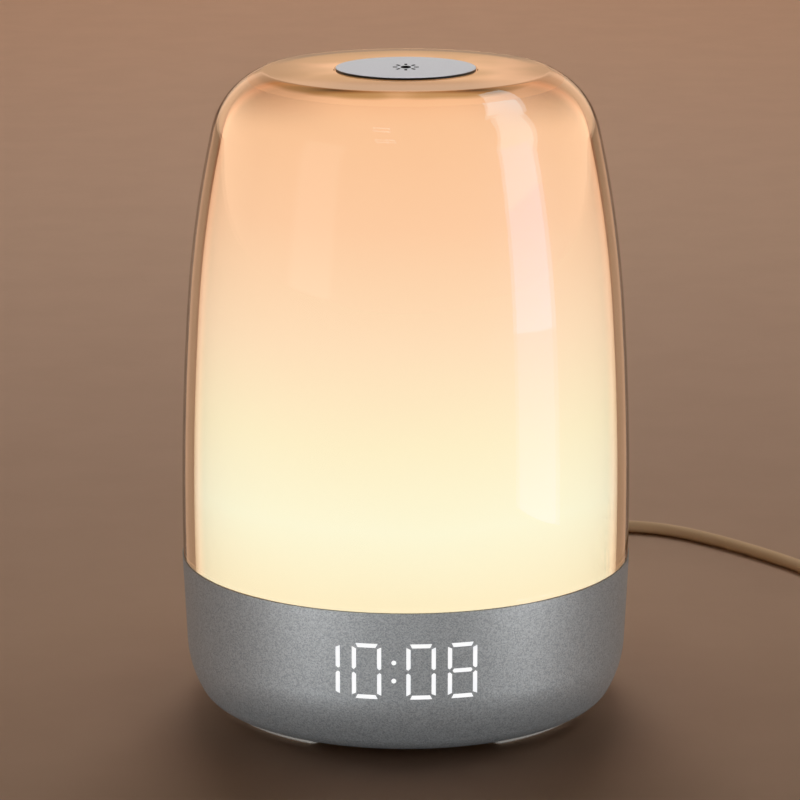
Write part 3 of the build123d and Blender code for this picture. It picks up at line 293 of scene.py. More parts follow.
@dataclass(frozen=True)
class GlowingOpal(Finish):
    """Opal acrylic lit from inside: pale yellow near the lamps at its foot, orange towards its top."""

    name: str
    colour: str
    strength: float
    bottom: float             # mm, height of the ramp's start
    top: float                # mm, height of its end
    stops: tuple[tuple[float, str], ...]      # height in mm and the colour that the glow has there
    crown: tuple[tuple[float, str], ...]      # distance from the axis in mm and what is left of the glow in front there: a painted shade crescent
    squash: float = 0.68      # the painted shade crescent is drawn out sideways
    corner: str = "BEB2AC"    # painted shade: what is left of the glow towards the sides of the crown
    edge: str = "2A1C12"      # painted shade: a dark line along the rear edge of the flat top

    def surface(self, tree: bpy.types.NodeTree, shader: bpy.types.Node) -> None:
        """Glow by height, with a slight cloudiness like cast opal sheet, and painted shade: a crescent in front of the
        crown, darker sides near the top and a dark line along the rear edge of the flat top.
        """
        place = add_node(tree, "ShaderNodeTexCoord").outputs["Object"]
        parts = add_node(tree, "ShaderNodeSeparateXYZ", links={"Vector": place})
        span = (self.top - self.bottom) * MM
        cloud = add_node(tree, "ShaderNodeMath", {"operation": "MULTIPLY_ADD", 1: 0.004, 2: -0.002},
                         {0: self.grain(tree, 18.0)})
        height = add_node(tree, "ShaderNodeMath", {"operation": "ADD"},
                          {0: parts.outputs["Z"], 1: cloud.outputs["Value"]})
        share = add_node(tree, "ShaderNodeMapRange", {"From Min": self.bottom * MM,
                                                      "From Max": self.bottom * MM + span},
                         {"Value": height.outputs["Value"]})
        stops = [((z - self.bottom) * MM / span, linear(colour)) for z, colour in self.stops]
        glow = ramp(tree, share.outputs["Result"], stops)
        # painted shade: a crescent in front of the crown, fading towards the sides
        across = add_node(tree, "ShaderNodeMath", {"operation": "MULTIPLY", 1: self.squash},
                          {0: parts.outputs["X"]})
        flat = add_node(tree, "ShaderNodeCombineXYZ", links={0: across.outputs["Value"], 1: parts.outputs["Y"]})
        reach = add_node(tree, "ShaderNodeVectorMath", {"operation": "LENGTH"},
                         {0: flat.outputs["Vector"]}).outputs["Value"]
        first, last = self.crown[0][0], self.crown[-1][0]
        outwards = add_node(tree, "ShaderNodeMapRange", {"From Min": first * MM, "From Max": last * MM},
                            {"Value": reach})
        left = ramp(tree, outwards.outputs["Result"],
                    [((radius - first) / (last - first), linear(colour)) for radius, colour in self.crown])
        ahead = add_node(tree, "ShaderNodeMapRange", {"From Min": -0.008, "From Max": -0.022,
                                                      "interpolation_type": "SMOOTHSTEP"},
                         {"Value": parts.outputs["Y"]})
        aside = add_node(tree, "ShaderNodeMath", {"operation": "ABSOLUTE"}, {0: parts.outputs["X"]})
        fading = add_node(tree, "ShaderNodeMapRange", {"From Min": 0.028, "From Max": 0.012,
                                                       "interpolation_type": "SMOOTHSTEP"},
                          {"Value": aside.outputs["Value"]})
        amount = add_node(tree, "ShaderNodeMath", {"operation": "MULTIPLY"},
                          {0: ahead.outputs["Result"], 1: fading.outputs["Result"]})
        painted_crescent = add_node(tree, "ShaderNodeMix", {"data_type": "RGBA", "blend_type": "MULTIPLY"},
                          {0: amount.outputs["Value"], 6: glow, 7: left})
        # painted shade: darker sides near the top
        high = add_node(tree, "ShaderNodeMapRange", {"From Min": 0.145, "From Max": 0.156,
                                                     "interpolation_type": "SMOOTHSTEP"},
                        {"Value": parts.outputs["Z"]})
        outer = add_node(tree, "ShaderNodeMapRange", {"From Min": 0.012, "From Max": 0.036,
                                                      "interpolation_type": "SMOOTHSTEP"},
                         {"Value": aside.outputs["Value"]})
        corner = add_node(tree, "ShaderNodeMath", {"operation": "MULTIPLY"},
                          {0: high.outputs["Result"], 1: outer.outputs["Result"]})
        painted_side_shade = add_node(tree, "ShaderNodeMix", {"data_type": "RGBA", "blend_type": "MULTIPLY",
                                                 7: linear(self.corner)},
                         {0: corner.outputs["Value"], 6: painted_crescent.outputs[2]})
        # painted shade: a dark line along the rear edge of the flat top
        true_reach = add_node(tree, "ShaderNodeVectorMath", {"operation": "LENGTH"}, {
            0: add_node(tree, "ShaderNodeCombineXYZ", links={0: parts.outputs["X"], 1: parts.outputs["Y"]}
                        ).outputs["Vector"]}).outputs["Value"]
        edge = add_node(tree, "ShaderNodeMapRange", {"From Min": 0.0312, "From Max": 0.0328}, {"Value": true_reach})
        edge_high = add_node(tree, "ShaderNodeMapRange", {"From Min": 0.1525, "From Max": 0.1532,
                                                          4: 0.0}, {"Value": parts.outputs["Z"],
                                                                    "To Max": edge.outputs["Result"]})
        behind = add_node(tree, "ShaderNodeMapRange", {"From Min": 0.008, "From Max": 0.022},
                          {"Value": parts.outputs["Y"], "To Max": edge_high.outputs["Result"]})
        painted_rear_line = add_node(tree, "ShaderNodeMix", {"data_type": "RGBA", "blend_type": "MULTIPLY",
                                                 7: linear(self.edge)},
                         {0: behind.outputs["Result"], 6: painted_side_shade.outputs[2]})
        tree.links.new(painted_rear_line.outputs[2], shader.inputs["Emission Color"])
        shader.inputs["Emission Strength"].default_value = self.strength
        shader.inputs["Base Color"].default_value = linear(self.colour)
        shader.inputs["Roughness"].default_value = 0.5


@dataclass(frozen=True)
class Lit(Finish):
    """Glowing mark or lamp: its light evens out its own surface."""

    name: str
    colour: str
    strength: float

    def surface(self, tree: bpy.types.NodeTree, shader: bpy.types.Node) -> None:
        """Emission that is a touch uneven, like light through a thin wall."""
        glow = ramp(tree, self.grain(tree, 1.2), [(0.2, linear(self.colour)), (0.5, linear("FFFFFF"))])
        tree.links.new(glow, shader.inputs["Emission Color"])
        shader.inputs["Emission Strength"].default_value = self.strength
        shader.inputs["Base Color"].default_value = linear("3A3A3A")
        shader.inputs["Roughness"].default_value = 0.5


class Finishes(Enum):
    """The clock's finishes."""

    SILVER_PAINT = FlakePaint("silver_paint_on_abs", "A4A9AD", "92979B", "B6BBBF", 0.75, 0.5, 0.26)
    DARK_ABS = Moulded("dark_textured_abs", "2B2B2C", "303031", 0.5, 0.5, 0.02)
    BUTTON_ABS = Moulded("silver_grey_button_abs", "8B8C8E", "929395", 0.38)
    WHITE_ABS = Moulded("moulded_white_abs", "E6E3DC", "DEDBD3", 0.4)
    ZINC = SatinMetal("zinc_coated_steel", "B9BABD", "9FA1A4", 0.3, 0.3)
    NICKEL = SatinMetal("nickel_plated_brass", "C4C0B8", "ABA8A1", 0.22, 0.3)
    PLATE = SatinMetal("blasted_anodised_aluminium", "E6E9EE", "DCDFE4", 0.42, 0.18, 0.6)
    # painted shade: the plate's thin side is coloured dark instead of its own metal colour
    PLATE_SIDE_SHADE = SatinMetal("painted_shade_plate_edge", "4E5964", "454F59", 0.45, 0.2, 0.5)
    SPEAKER_STEEL = SatinMetal("pressed_speaker_steel", "77787A", "66676A", 0.4, 0.6)
    # second and third colours: painted shade of the edge-on wall and rim; the last three: painted glow on the wall
    CLEAR = ClearAcrylic("polished_clear_acrylic", "FFFFFF", "806A58", "5A3A26", ("7A4628", "86694F", "94755C"))
    STRAP = Moulded("woven_strap", "232326", "2E2E32", 0.85, 0.35, 0.05)
    RUBBER = Moulded("pale_translucent_rubber", "8A8884", "94928E", 0.55, 0.3, 0.01, 1.5)
    GASKET = Moulded("dark_gasket_rubber", "191919", "202020", 0.7)
    INK = Moulded("black_printing_ink", "050505", "080808", 0.85, 0.2, 0.003, gloss=0.02)
    BOARD = Moulded("green_solder_mask", "1F5A34", "27683D", 0.35, 0.6, 0.01)
    LED_BOARD = Moulded("white_solder_mask", "E9E9E5", "E0E0DC", 0.35, 0.6, 0.01)
    COMPONENT = Moulded("black_component_moulding", "1C1C1D", "242425", 0.5, 0.3, 0.01)
    WIRE = Moulded("red_pvc_wire_insulation", "A8221C", "98201B", 0.4, 0.4, 0.005)
    PAPER = Moulded("pressed_paper_cone", "201F1E", "2A2927", 0.85, 0.5, 0.05)
    JACKET = Moulded("pale_pvc_jacket", "E2C09C", "DAB892", 0.42, 0.5, 0.012)
    INSERT = Moulded("white_moulded_insert", "E0E0E0", "D8D8D8", 0.4)
    WARM_LED = Lit("warm_white_phosphor", "FFE2A0", 1.2)
    AMBER_LED = Lit("amber_phosphor", "FFB060", 1.1)
    DISPLAY = Lit("white_display_light", "F4F6FA", 1.0)
    # glow colours by height, then the painted shade crescent in front of the crown by distance from the axis
    OPAL = GlowingOpal(
        "opal_acrylic_lit_warm", "4A3C2E", 1.06, 36.0, 156.0,
        ((38.6, "FEEFC6"), (56.1, "FDF8D6"), (76.2, "FEF0C8"), (98.9, "FFE0BA"), (126.8, "FECDA3"),
         (149.0, "FBC597"), (151.5, "FBC192"), (153.3, "F6BA8A"), (153.75, "B4834C")),
        ((14.0, "FFFFFF"), (19.0, "CCBCAC"), (24.0, "7E6858"), (27.5, "3A2C22"), (29.8, "3A2C22"),
         (31.0, "D8C4B4"), (32.0, "FFFFFF")))


NODE_FINISHES: dict[Finishes, tuple[str, ...]] = {
    Finishes.SILVER_PAINT: ("base_housing",),
    Finishes.DARK_ABS: ("bottom_cover", "battery_cap"),
    Finishes.BUTTON_ABS: ("rear_button_set", "rear_button_alarm", "rear_button_light", "rear_button_minus",
                          "rear_button_plus"),
    Finishes.ZINC: ("cover_screws", "board_screws", "tray_screws"),
    Finishes.RUBBER: ("foot_front_left", "foot_front_right", "foot_rear"),
    Finishes.GASKET: ("seam_gasket", "speaker_gasket"),
    Finishes.CLEAR: ("wire_tube",),
    Finishes.WHITE_ABS: ("button_cup", "light_tray", "display_light_box", "display_film"),
    Finishes.OPAL: ("button_carrier",),
    Finishes.BOARD: ("main_board", "display_board", "button_board", "top_switch_board"),
    Finishes.LED_BOARD: ("led_board",),
    Finishes.COMPONENT: ("main_board_parts", "top_switch", "rear_switches", "display_header", "dc_jack"),
    Finishes.WARM_LED: ("warm_white_leds",),
    Finishes.AMBER_LED: ("amber_leds",),
    Finishes.DISPLAY: ("display_leds", "lit_segments", "lit_colon"),
    Finishes.WIRE: ("led_lead", "top_switch_lead"),
    Finishes.NICKEL: ("coin_cell", "battery_contacts", "dc_jack_pin", "lead_plug_barrel", "usb_plug_shell"),
    Finishes.SPEAKER_STEEL: ("speaker_basket", "speaker_magnet"),
    Finishes.PAPER: ("speaker_cone",),
    Finishes.JACKET: ("lead_plug_body", "lead_strain_relief", "usb_plug_grip"),
    Finishes.INSERT: ("usb_plug_tongue",),
}


# ---------------------------------------------------------------- mesh helpers


class Lathe:
    """Half section of a turned piece, drawn in millimetres and spun about the upright axis."""

    def __init__(self, radius: float, height: float) -> None:
        """Start the outline at a radius and a height."""
        self.mesh = bmesh.new()
        self.first = bmesh.ops.create_vert(self.mesh, co=(radius * MM, 0, height * MM))["vert"][0]
        self.last = self.first

    def line(self, radius: float, height: float) -> "Lathe":
        """Run straight to a radius and a height."""
        made = bmesh.ops.extrude_vert_indiv(self.mesh, verts=[self.last])
        self.last = made["verts"][0]
        self.last.co = (radius * MM, 0, height * MM)
        return self

    def arc(self, centre: tuple[float, float], turn: float, steps: int) -> "Lathe":
        """Swing about a centre by an angle in radians, upwards and inwards when positive."""
        middle = (centre[0] * MM, 0, centre[1] * MM)
        made = bmesh.ops.spin(self.mesh, geom=[self.last], cent=middle, axis=(0, -1, 0), angle=turn,
                              steps=steps, use_duplicate=False)
        self.last = made["geom_last"][0]
        return self

    def spun(self, steps: int, closed: bool = True) -> bmesh.types.BMesh:
        """Spin the outline once round.

        Args:
            steps: faces round the piece.
            closed: join the outline's end to its start, as on a ring.

        Returns:
            The closed mesh, with its faces pointing outwards.
        """
        if closed:
            bmesh.ops.contextual_create(self.mesh, geom=[self.first, self.last])
        bmesh.ops.remove_doubles(self.mesh, verts=self.mesh.verts[:], dist=1e-6)
        bmesh.ops.spin(self.mesh, geom=self.mesh.verts[:] + self.mesh.edges[:], cent=(0, 0, 0),
                       axis=(0, 0, 1), angle=2 * pi, steps=steps, use_merge=True, use_duplicate=False)
        bmesh.ops.remove_doubles(self.mesh, verts=self.mesh.verts[:], dist=1e-6)
        bmesh.ops.recalc_face_normals(self.mesh, faces=self.mesh.faces[:])
        return self.mesh


def finished(mesh: bmesh.types.BMesh, name: str, finish: Finishes, body: str, *nodes: str,
             smooth: float = 35.0) -> bpy.types.Object:
    """Turn a bmesh into a piece that rides on a body.

    Args:
        mesh: the piece's mesh, in metres in the clock's frame. It is freed.
        name: name of the piece.
        finish: its finish.
        body: the body that it moves with.
        nodes: CAD nodes that it stands for.
        smooth: edges sharper than this many degrees stay sharp.

    Returns:
        The finished object.
    """
    data = bpy.data.meshes.new(name)
    limit = radians(smooth)
    for edge in mesh.edges:
        edge.smooth = len(edge.link_faces) == 2 and edge.calc_face_angle(0.0) < limit
    for face in mesh.faces:
        face.smooth = True
    mesh.to_mesh(data)
    mesh.free()
    piece = bpy.data.objects.new(name, data)
    bpy.context.scene.collection.objects.link(piece)
    data.materials.append(finish.value.material())
    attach(piece, body)
    if nodes:
        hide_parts(*nodes)
    LOG.info("%s: %d faces", name, len(data.polygons))
    return piece


# ---------------------------------------------------------------- the clock


@dataclass
class Dome:
    """Clear shell over the opal diffuser. Sizes in millimetres."""

    seam_radius: float = 55.0
    shell_foot: float = 37.2
    spigot_radius: float = 54.1
    spigot_foot: float = 34.4
    deck: float = 34.0
    top: float = 156.2
    wall: float = 2.4
    air_gap: float = 0.5
    opal_wall: float = 2.0
    bonded: float = 0.05      # the opal's flat top lies against the shell's underside
    bond_drop: float = 3.4    # below this depth the air gap opens
    gap_run: float = 9.0      # height over which it opens
    foot_step: float = 0.24
    lean: float = -0.8
    side_inset: float = 2.14
    side_drop: float = 55.7
    haunch_inset: float = 8.43
    haunch_drop: float = 14.0
    crown_inset: float = 20.6
    crown_round: float = 3.0
    recess_radius: float = 17.2
    recess_floor: float = 155.4
    button_hole: float = 13.4
    around: int = 224

    def arcs(self) -> list[tuple[tuple[float, float], float, float, float]]:
        """Centre, radius, first and last angle of the side, haunch and shoulder."""
        points = [
            (self.seam_radius - self.foot_step, self.shell_foot),
            (self.seam_radius - self.side_inset, self.top - self.side_drop),
            (self.seam_radius - self.haunch_inset, self.top - self.haunch_drop),
            (self.seam_radius - self.crown_inset, self.top),
        ]
        lean = radians(self.lean)
        found = []
        for start, end in zip(points, points[1:]):
            chord = hypot(end[0] - start[0], end[1] - start[1])
            end_lean = 2 * atan2(start[0] - end[0], end[1] - start[1]) - lean
            radius = chord / (2 * sin((end_lean - lean) / 2))
            centre = (start[0] - radius * cos(lean), start[1] - radius * sin(lean))
            found.append((centre, radius, lean, end_lean))
            lean = end_lean
        return found

    def spans(self, inset: float, bottom: float) -> list[tuple[tuple[float, float], float, float, float]]:
        """The arcs drawn in by an inset, cut at a foot height and at the top less the inset."""
        side, haunch, shoulder = self.arcs()
        foot = asin((bottom - side[0][1]) / (side[1] - inset))
        end = asin((self.top - inset - shoulder[0][1]) / (shoulder[1] - inset))
        return [(side[0], side[1] - inset, foot, side[3]),
                (haunch[0], haunch[1] - inset, haunch[2], haunch[3]),
                (shoulder[0], shoulder[1] - inset, shoulder[2], end)]

    @staticmethod
    def at(span: tuple[tuple[float, float], float, float, float], angle: float) -> tuple[float, float]:
        """Radius and height of a point of an arc."""
        return span[0][0] + span[1] * cos(angle), span[0][1] + span[1] * sin(angle)

    def shell(self) -> bpy.types.Object:
        """Clear shell with a rounded crown edge, the button's recess and its hole."""
        outer = self.spans(0.0, self.shell_foot + 0.15)
        foot = self.at(outer[0], outer[0][2])
        lathe = Lathe(self.spigot_radius, self.spigot_foot)
        lathe.line(self.spigot_radius, self.shell_foot).line(foot[0] - 0.15, self.shell_foot).line(*foot)
        for span, steps in zip(outer[:2], (28, 18)):
            lathe.arc(span[0], span[3] - span[2], steps)
        self.round_crown(lathe, outer[2])
        lathe.line(self.recess_radius + 0.15, self.top).line(self.recess_radius, self.top - 0.15)
        lathe.line(self.recess_radius, self.recess_floor)
        inner = self.spans(self.wall, self.spigot_foot)
        end = self.at(inner[2], inner[2][3])
        lathe.line(self.button_hole, self.recess_floor).line(self.button_hole, end[1])
        lathe.line(*end)
        for span, steps in zip(reversed(inner), (22, 18, 28)):
            lathe.arc(span[0], span[2] - span[3], steps)
        return finished(lathe.spun(self.around), "clear_shell", Finishes.CLEAR, "clock", "outer_shell")

    def round_crown(self, lathe: Lathe, shoulder: tuple[tuple[float, float], float, float, float]) -> None:
        """Run up the shoulder and round its edge onto the flat top."""
        inner_radius = shoulder[1] - self.crown_round
        height = self.top - self.crown_round
        angle = asin((height - shoulder[0][1]) / inner_radius)
        centre = (shoulder[0][0] + inner_radius * cos(angle), height)
        lathe.arc(shoulder[0], angle - shoulder[2], 20)
        lathe.arc(centre, pi / 2 - angle, 6)

    def diffuser(self) -> bpy.types.Object:
        """Opal inner dome, standing on the deck."""
        outset = self.wall + self.air_gap
        outer = self.spans(outset, self.deck)
        inner = self.spans(outset + self.opal_wall, self.deck)
        lathe = Lathe(*self.at(outer[0], outer[0][2]))
        for span, steps in zip(outer[:2], (28, 18)):
            lathe.arc(span[0], span[3] - span[2], steps)
        free, lying = outer[2], self.spans(self.wall - self.bonded, self.deck)[2]
        opens = asin((self.top - self.bond_drop - self.gap_run - free[0][1]) / free[1])
        closes = asin((self.top - self.bond_drop - lying[0][1]) / lying[1])
        lathe.arc(free[0], opens - free[2], 12)
        for i in range(1, 9):
            share = i / 8
            angle = opens + (closes - opens) * share
            near, far = self.at(free, angle), self.at(lying, angle)
            lathe.line(near[0] + (far[0] - near[0]) * share, near[1] + (far[1] - near[1]) * share)
        end = self.at(inner[2], inner[2][3])
        lathe.arc(lying[0], lying[3] - closes, 10).line(self.button_hole, self.top - self.wall + self.bonded)
        lathe.line(self.button_hole, end[1]).line(*end)
        for span, steps in zip(reversed(inner), (22, 18, 28)):
            lathe.arc(span[0], span[2] - span[3], steps)
        return finished(lathe.spun(self.around), "opal_diffuser", Finishes.OPAL, "clock", "inner_diffuser")

    def build(self) -> None:
        """Make both domes."""
        self.shell()
        self.diffuser()


@dataclass
class TouchPlate:
    """Thin round press plate with a softened rim, its side coloured dark as painted shade. Sizes in millimetres."""

    radius: float = 16.8
    underside: float = 155.9
    top: float = 156.68
    softening: float = 0.16
    around: int = 160

    def build(self) -> None:
        """Turn the plate and colour its side dark as painted shade."""
        lathe = Lathe(0.0, self.underside)
        lathe.line(self.radius - 0.05, self.underside).line(self.radius, self.underside + 0.05)
        lathe.line(self.radius, self.top - self.softening)
        lathe.arc((self.radius - self.softening, self.top - self.softening), pi / 2, 4)
        lathe.line(self.radius - 2 * self.softening, self.top).line(0.0, self.top)
        plate = finished(lathe.spun(self.around, closed=False), "touch_disc", Finishes.PLATE,
                         "top_button", "touch_plate")
        # the side gets the painted shade colour
        plate.data.materials.append(Finishes.PLATE_SIDE_SHADE.value.material())
        for face in plate.data.polygons:
            face.material_index = 1 if abs(face.normal.z) < 0.5 else 0


@dataclass
class SunSymbol:
    """Printed sun on the press plate: a dot and its rays, drawn deeper than wide. Sizes in millimetres."""

    dot: float = 1.25
    ray_start: float = 2.0
    ray_end: float = 3.1
    ray_width: float = 0.66
    rays: int = 8
    stretch: float = 1.65
    underside: float = 156.55
    top: float = 156.71

    def build(self) -> None:
        """Make the dot and the rays as one print."""
        mesh = bmesh.new()
        thickness = (self.top - self.underside) * MM
        middle = (self.top + self.underside) / 2 * MM
        bmesh.ops.create_cone(mesh, cap_ends=True, segments=48, radius1=self.dot * MM, radius2=self.dot * MM,
                              depth=thickness)
        for i in range(self.rays):
            made = bmesh.ops.create_cube(mesh, size=1.0)["verts"]
            length = self.ray_end - self.ray_start
            bmesh.ops.scale(mesh, verts=made, vec=(length * MM, self.ray_width * MM, thickness))
            bmesh.ops.translate(mesh, verts=made, vec=((self.ray_start + length / 2) * MM, 0.0, 0.0))
            bmesh.ops.rotate(mesh, verts=made, matrix=Matrix.Rotation(2 * pi * i / self.rays, 3, "Z"))
        bmesh.ops.scale(mesh, verts=mesh.verts[:], vec=(1.0, self.stretch, 1.0))
        bmesh.ops.translate(mesh, verts=mesh.verts[:], vec=(0.0, 0.0, middle))
        finished(mesh, "sun_print", Finishes.INK, "top_button", "sun_symbol")


@dataclass
class ButtonMark:
    """Symbol printed on one rear button, drawn as seen from behind. Sizes in millimetres."""

    body: str
    node: str
    centre: float             # along X
    outlines: tuple[tuple[tuple[float, float], ...], ...]
    ring: tuple[float, float] | None = None       # inner and outer radius
    height: float = 26.0
    lift: float = 0.035

    def build(self, face: bpy.types.Object) -> None:
        """Lay the symbol on the button's curved face.

        Args:
            face: the button that it is printed on.
        """
        mesh = bmesh.new()
        for outline in self.outlines:
            self.prism(mesh, face, outline)
        if self.ring:
            around = [(cos(2 * pi * i / 40), sin(2 * pi * i / 40)) for i in range(40)]
            loops = [[self.corner(mesh, face, (radius * u, radius * v), side) for u, v in around]
                     for radius, side in ((self.ring[0], 1), (self.ring[1], 1), (self.ring[1], -1), (self.ring[0], -1))]
            for one, other in zip(loops, [*loops[1:], loops[0]]):
                for i in range(40):
                    mesh.faces.new((one[i - 1], one[i], other[i], other[i - 1]))
        bmesh.ops.triangulate(mesh, faces=[piece for piece in mesh.faces if len(piece.verts) > 4])
        bmesh.ops.recalc_face_normals(mesh, faces=mesh.faces[:])
        finished(mesh, f"{self.body}_print", Finishes.INK, self.body)

    def prism(self, mesh: bmesh.types.BMesh, face: bpy.types.Object,
              outline: tuple[tuple[float, float], ...]) -> None:
        """Add a thin closed slab with this outline."""
        front = [self.corner(mesh, face, point, 1) for point in outline]
        back = [self.corner(mesh, face, point, -1) for point in outline]
        mesh.faces.new(front)
        mesh.faces.new(reversed(back))
        for i in range(len(outline)):
            mesh.faces.new((front[i - 1], front[i], back[i], back[i - 1]))

    def corner(self, mesh: bmesh.types.BMesh, face: bpy.types.Object, point: tuple[float, float],
               side: int) -> bmesh.types.BMVert:
        """Vertex over or under the button's face at a point of the drawing."""
        across, up = self.centre - point[0], self.height + point[1]
        here = face.matrix_world.inverted()
        hit, place, _, _ = face.ray_cast(here @ Vector((across * MM, 0.08, up * MM)),
                                         here.to_3x3() @ Vector((0.0, -1.0, 0.0)))
        if not hit:
            raise ValueError(f"{self.node} has no face under its print")
        place = face.matrix_world @ place
        return mesh.verts.new((place.x, place.y + side * self.lift * MM, place.z))


def bar(left: float, low: float, right: float, high: float) -> tuple[tuple[float, float], ...]:
    """Corners of an upright rectangle."""
    return (left, low), (right, low), (right, high), (left, high)


def turned(points: tuple[tuple[float, float], ...], angle: float) -> tuple[tuple[float, float], ...]:
    """Points turned about the middle by an angle in radians."""
    return tuple((u * cos(angle) - v * sin(angle), u * sin(angle) + v * cos(angle)) for u, v in points)


def disc(radius: float, up: float = 0.0, first: float = 0.0, last: float = 2 * pi,
         steps: int = 24) -> tuple[tuple[float, float], ...]:
    """Points round a disc, or along part of its edge."""
    return tuple((radius * cos(first + (last - first) * i / steps), up + radius * sin(first + (last - first) * i / steps))
                 for i in range(steps if last - first > 6 else steps + 1))


BUTTON_MARKS = (
    ButtonMark("set_button", "rear_button_set", -20.0, (
        ((-0.15, -0.15), (0.8, -0.15), (0.8, 0.15), (0.15, 0.15), (0.15, 1.0), (-0.15, 1.0)),), (1.35, 1.7)),
    ButtonMark("alarm_button", "rear_button_alarm", -10.0, (
        ((-1.5, -0.85), (1.5, -0.85), (1.5, -0.6), (1.05, -0.25), *disc(1.0, 0.4, 0.0, pi), (-1.05, -0.25),
         (-1.5, -0.6)),
        disc(0.34, -1.3), bar(-0.18, 1.5, 0.18, 1.8))),
    ButtonMark("light_button", "rear_button_light", 0.0, (
        disc(0.7), *(turned(bar(1.1, -0.17, 1.75, 0.17), pi * i / 4) for i in range(8)))),
    ButtonMark("minus_button", "rear_button_minus", 10.0, (bar(-1.6, -0.28, 1.6, 0.28),)),
    ButtonMark("plus_button", "rear_button_plus", 20.0, (
        ((-1.6, -0.28), (-0.28, -0.28), (-0.28, -1.6), (0.28, -1.6), (0.28, -0.28), (1.6, -0.28), (1.6, 0.28),
         (0.28, 0.28), (0.28, 1.6), (-0.28, 1.6), (-0.28, 0.28), (-1.6, 0.28)),)),
)


@dataclass
class PowerLead:
    """Round lead from the rear jack to a neat coil and its far plug. Sizes in millimetres."""

    diameter: float = 3.5
    length: float = 1500.0
    floor: float = 1.75
    coil_centre: tuple[float, float] = (150.5, 52.0)
    strand_radii: tuple[float, ...] = (24.25, 20.75, 17.25, 13.75)
    layer_heights: tuple[float, ...] = (1.75, 5.25, 8.75)
    points_per_turn: int = 18
    strap_angle: float = -150.0
    near: tuple[Place, ...] = (
        (0, 92.4, 12.5), (0, 100.4, 12.5), (0.8, 110.9, 10.0), (4, 120.9, 5.6), (11, 130.9, 2.5),
        (22, 139.4, 1.75), (35, 143.2, 1.75), (49, 145.6, 1.75), (63, 144.9, 1.75), (75, 141.0, 1.75),
        (86, 131.9, 1.75), (97, 119.8, 1.75), (108, 105.6, 1.75), (117.5, 90.5, 1.75),
        (124.2, 76.5, 1.75))
    tail: tuple[Place, ...] = (
        (171.5, 34.4, 7.2), (177.5, 41.0, 4.6), (182.0, 49.0, 3.5), (184.2, 56.5, 3.6),
        (184.5, 64.0, 4.0), (184.5, 71.0, 4.0))
    stations: list[tuple[float, float, float]] = field(default_factory=list)

    def wind(self) -> list[Place]:
        """Centreline of the coil's turns: two full layers, then a third that ends at the outside.

        Returns:
            Points in millimetres, in the order that the lead is wound.
        """
        outer, second, third, inner = self.strand_radii
        low, middle, high = self.layer_heights
        turns = [(outer, low), (second, low), (third, low), (inner, low),
                 (inner, middle), (third, middle), (second, middle), (outer, middle),
                 (third, high), (second, high), (outer, high)]
        start = 150.0
        last_turn = 128.0 / 360.0
        shrink = 0.75 + 0.25 * cos(2 * pi / self.points_per_turn)
        points = []
        count = round((len(turns) - 1 + last_turn) * self.points_per_turn)
        for i in range(1, count + 1):
            turn = i / self.points_per_turn
            index = min(int(turn), len(turns) - 1)
            share = turn - index
            radius, height = turns[index]
            if index + 1 < len(turns):
                next_radius, next_height = turns[index + 1]
                radius += (next_radius - radius) * self.eased((share - 5 / 6) * 6)
                height += (next_height - height) * self.eased((share - 4 / 6) * 6)
            angle = radians(start + 360 * turn)
            points.append((self.coil_centre[0] + radius / shrink * cos(angle),
                           self.coil_centre[1] + radius / shrink * sin(angle), height))
        return points

    @staticmethod
    def eased(share: float) -> float:
        """Smooth step from 0 to 1."""
        held = min(max(share, 0.0), 1.0)
        return held * held * (3 - 2 * held)

    def strap(self) -> None:
        """Wrap the tie tight round the strands at one place, its ends slightly chamfered."""
        reach, inside, outside = self.diameter / 2, 0.02, 1.0
        strands = [(radius, height) for height in self.layer_heights for radius in self.strand_radii
                   if (radius, height) != (self.strand_radii[-1], self.layer_heights[-1])]
        mesh = bmesh.new()
        rings = []
        for offset, drop in ((-2.5, 0.25), (-2.3, 0.0), (0.0, 0.0), (2.3, 0.0), (2.5, 0.25)):
            for layer in (inside, outside - drop):
                ring = []
                for i in range(96):
                    along, up = cos(2 * pi * i / 96), sin(2 * pi * i / 96)
                    radius, height = max(strands, key=lambda strand: strand[0] * along + strand[1] * up)
                    radius += (reach + layer) * along
                    height = max(height + (reach + layer) * up, 0.04 if layer > inside else 0.5)
                    angle = radians(self.strap_angle) + asin(offset / radius)
                    ring.append(mesh.verts.new(((self.coil_centre[0] + radius * cos(angle)) * MM,
                                                (self.coil_centre[1] + radius * sin(angle)) * MM, height * MM)))
                rings.append(ring)
        inner, outer = rings[0::2], rings[1::2]
        joined = [*inner, *reversed(outer)]
        for one, other in zip(joined, [*joined[1:], joined[0]]):
            for i in range(96):
                mesh.faces.new((one[i - 1], one[i], other[i], other[i - 1]))
        bmesh.ops.recalc_face_normals(mesh, faces=mesh.faces[:])
        finished(mesh, "tie_strap", Finishes.STRAP, "clock", "coil_tie")

    def build(self) -> None:
        self.strap()
        points = [*self.near, *self.wind(), *self.tail]
        curve = bpy.data.curves.new("power_lead_jacket", "CURVE")
        curve.dimensions = "3D"
        curve.bevel_depth = self.diameter / 2 * MM
        curve.bevel_resolution = 5
        curve.resolution_u = 6
        curve.use_fill_caps = True
        spline = curve.splines.new("NURBS")
        spline.points.add(len(points) - 1)
        for point, place in zip(spline.points, points):
            point.co = (*(c * MM for c in place), 1.0)
        spline.order_u = 3
        spline.use_endpoint_u = True
        lead = bpy.data.objects.new("power_lead_jacket", curve)
        bpy.context.scene.collection.objects.link(lead)
        curve.materials.append(Finishes.JACKET.value.material())
        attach(lead, "clock")
        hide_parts("power_lead", "power_lead_tail", "power_lead_coil")
        LOG.info("power lead: %d points", len(points))


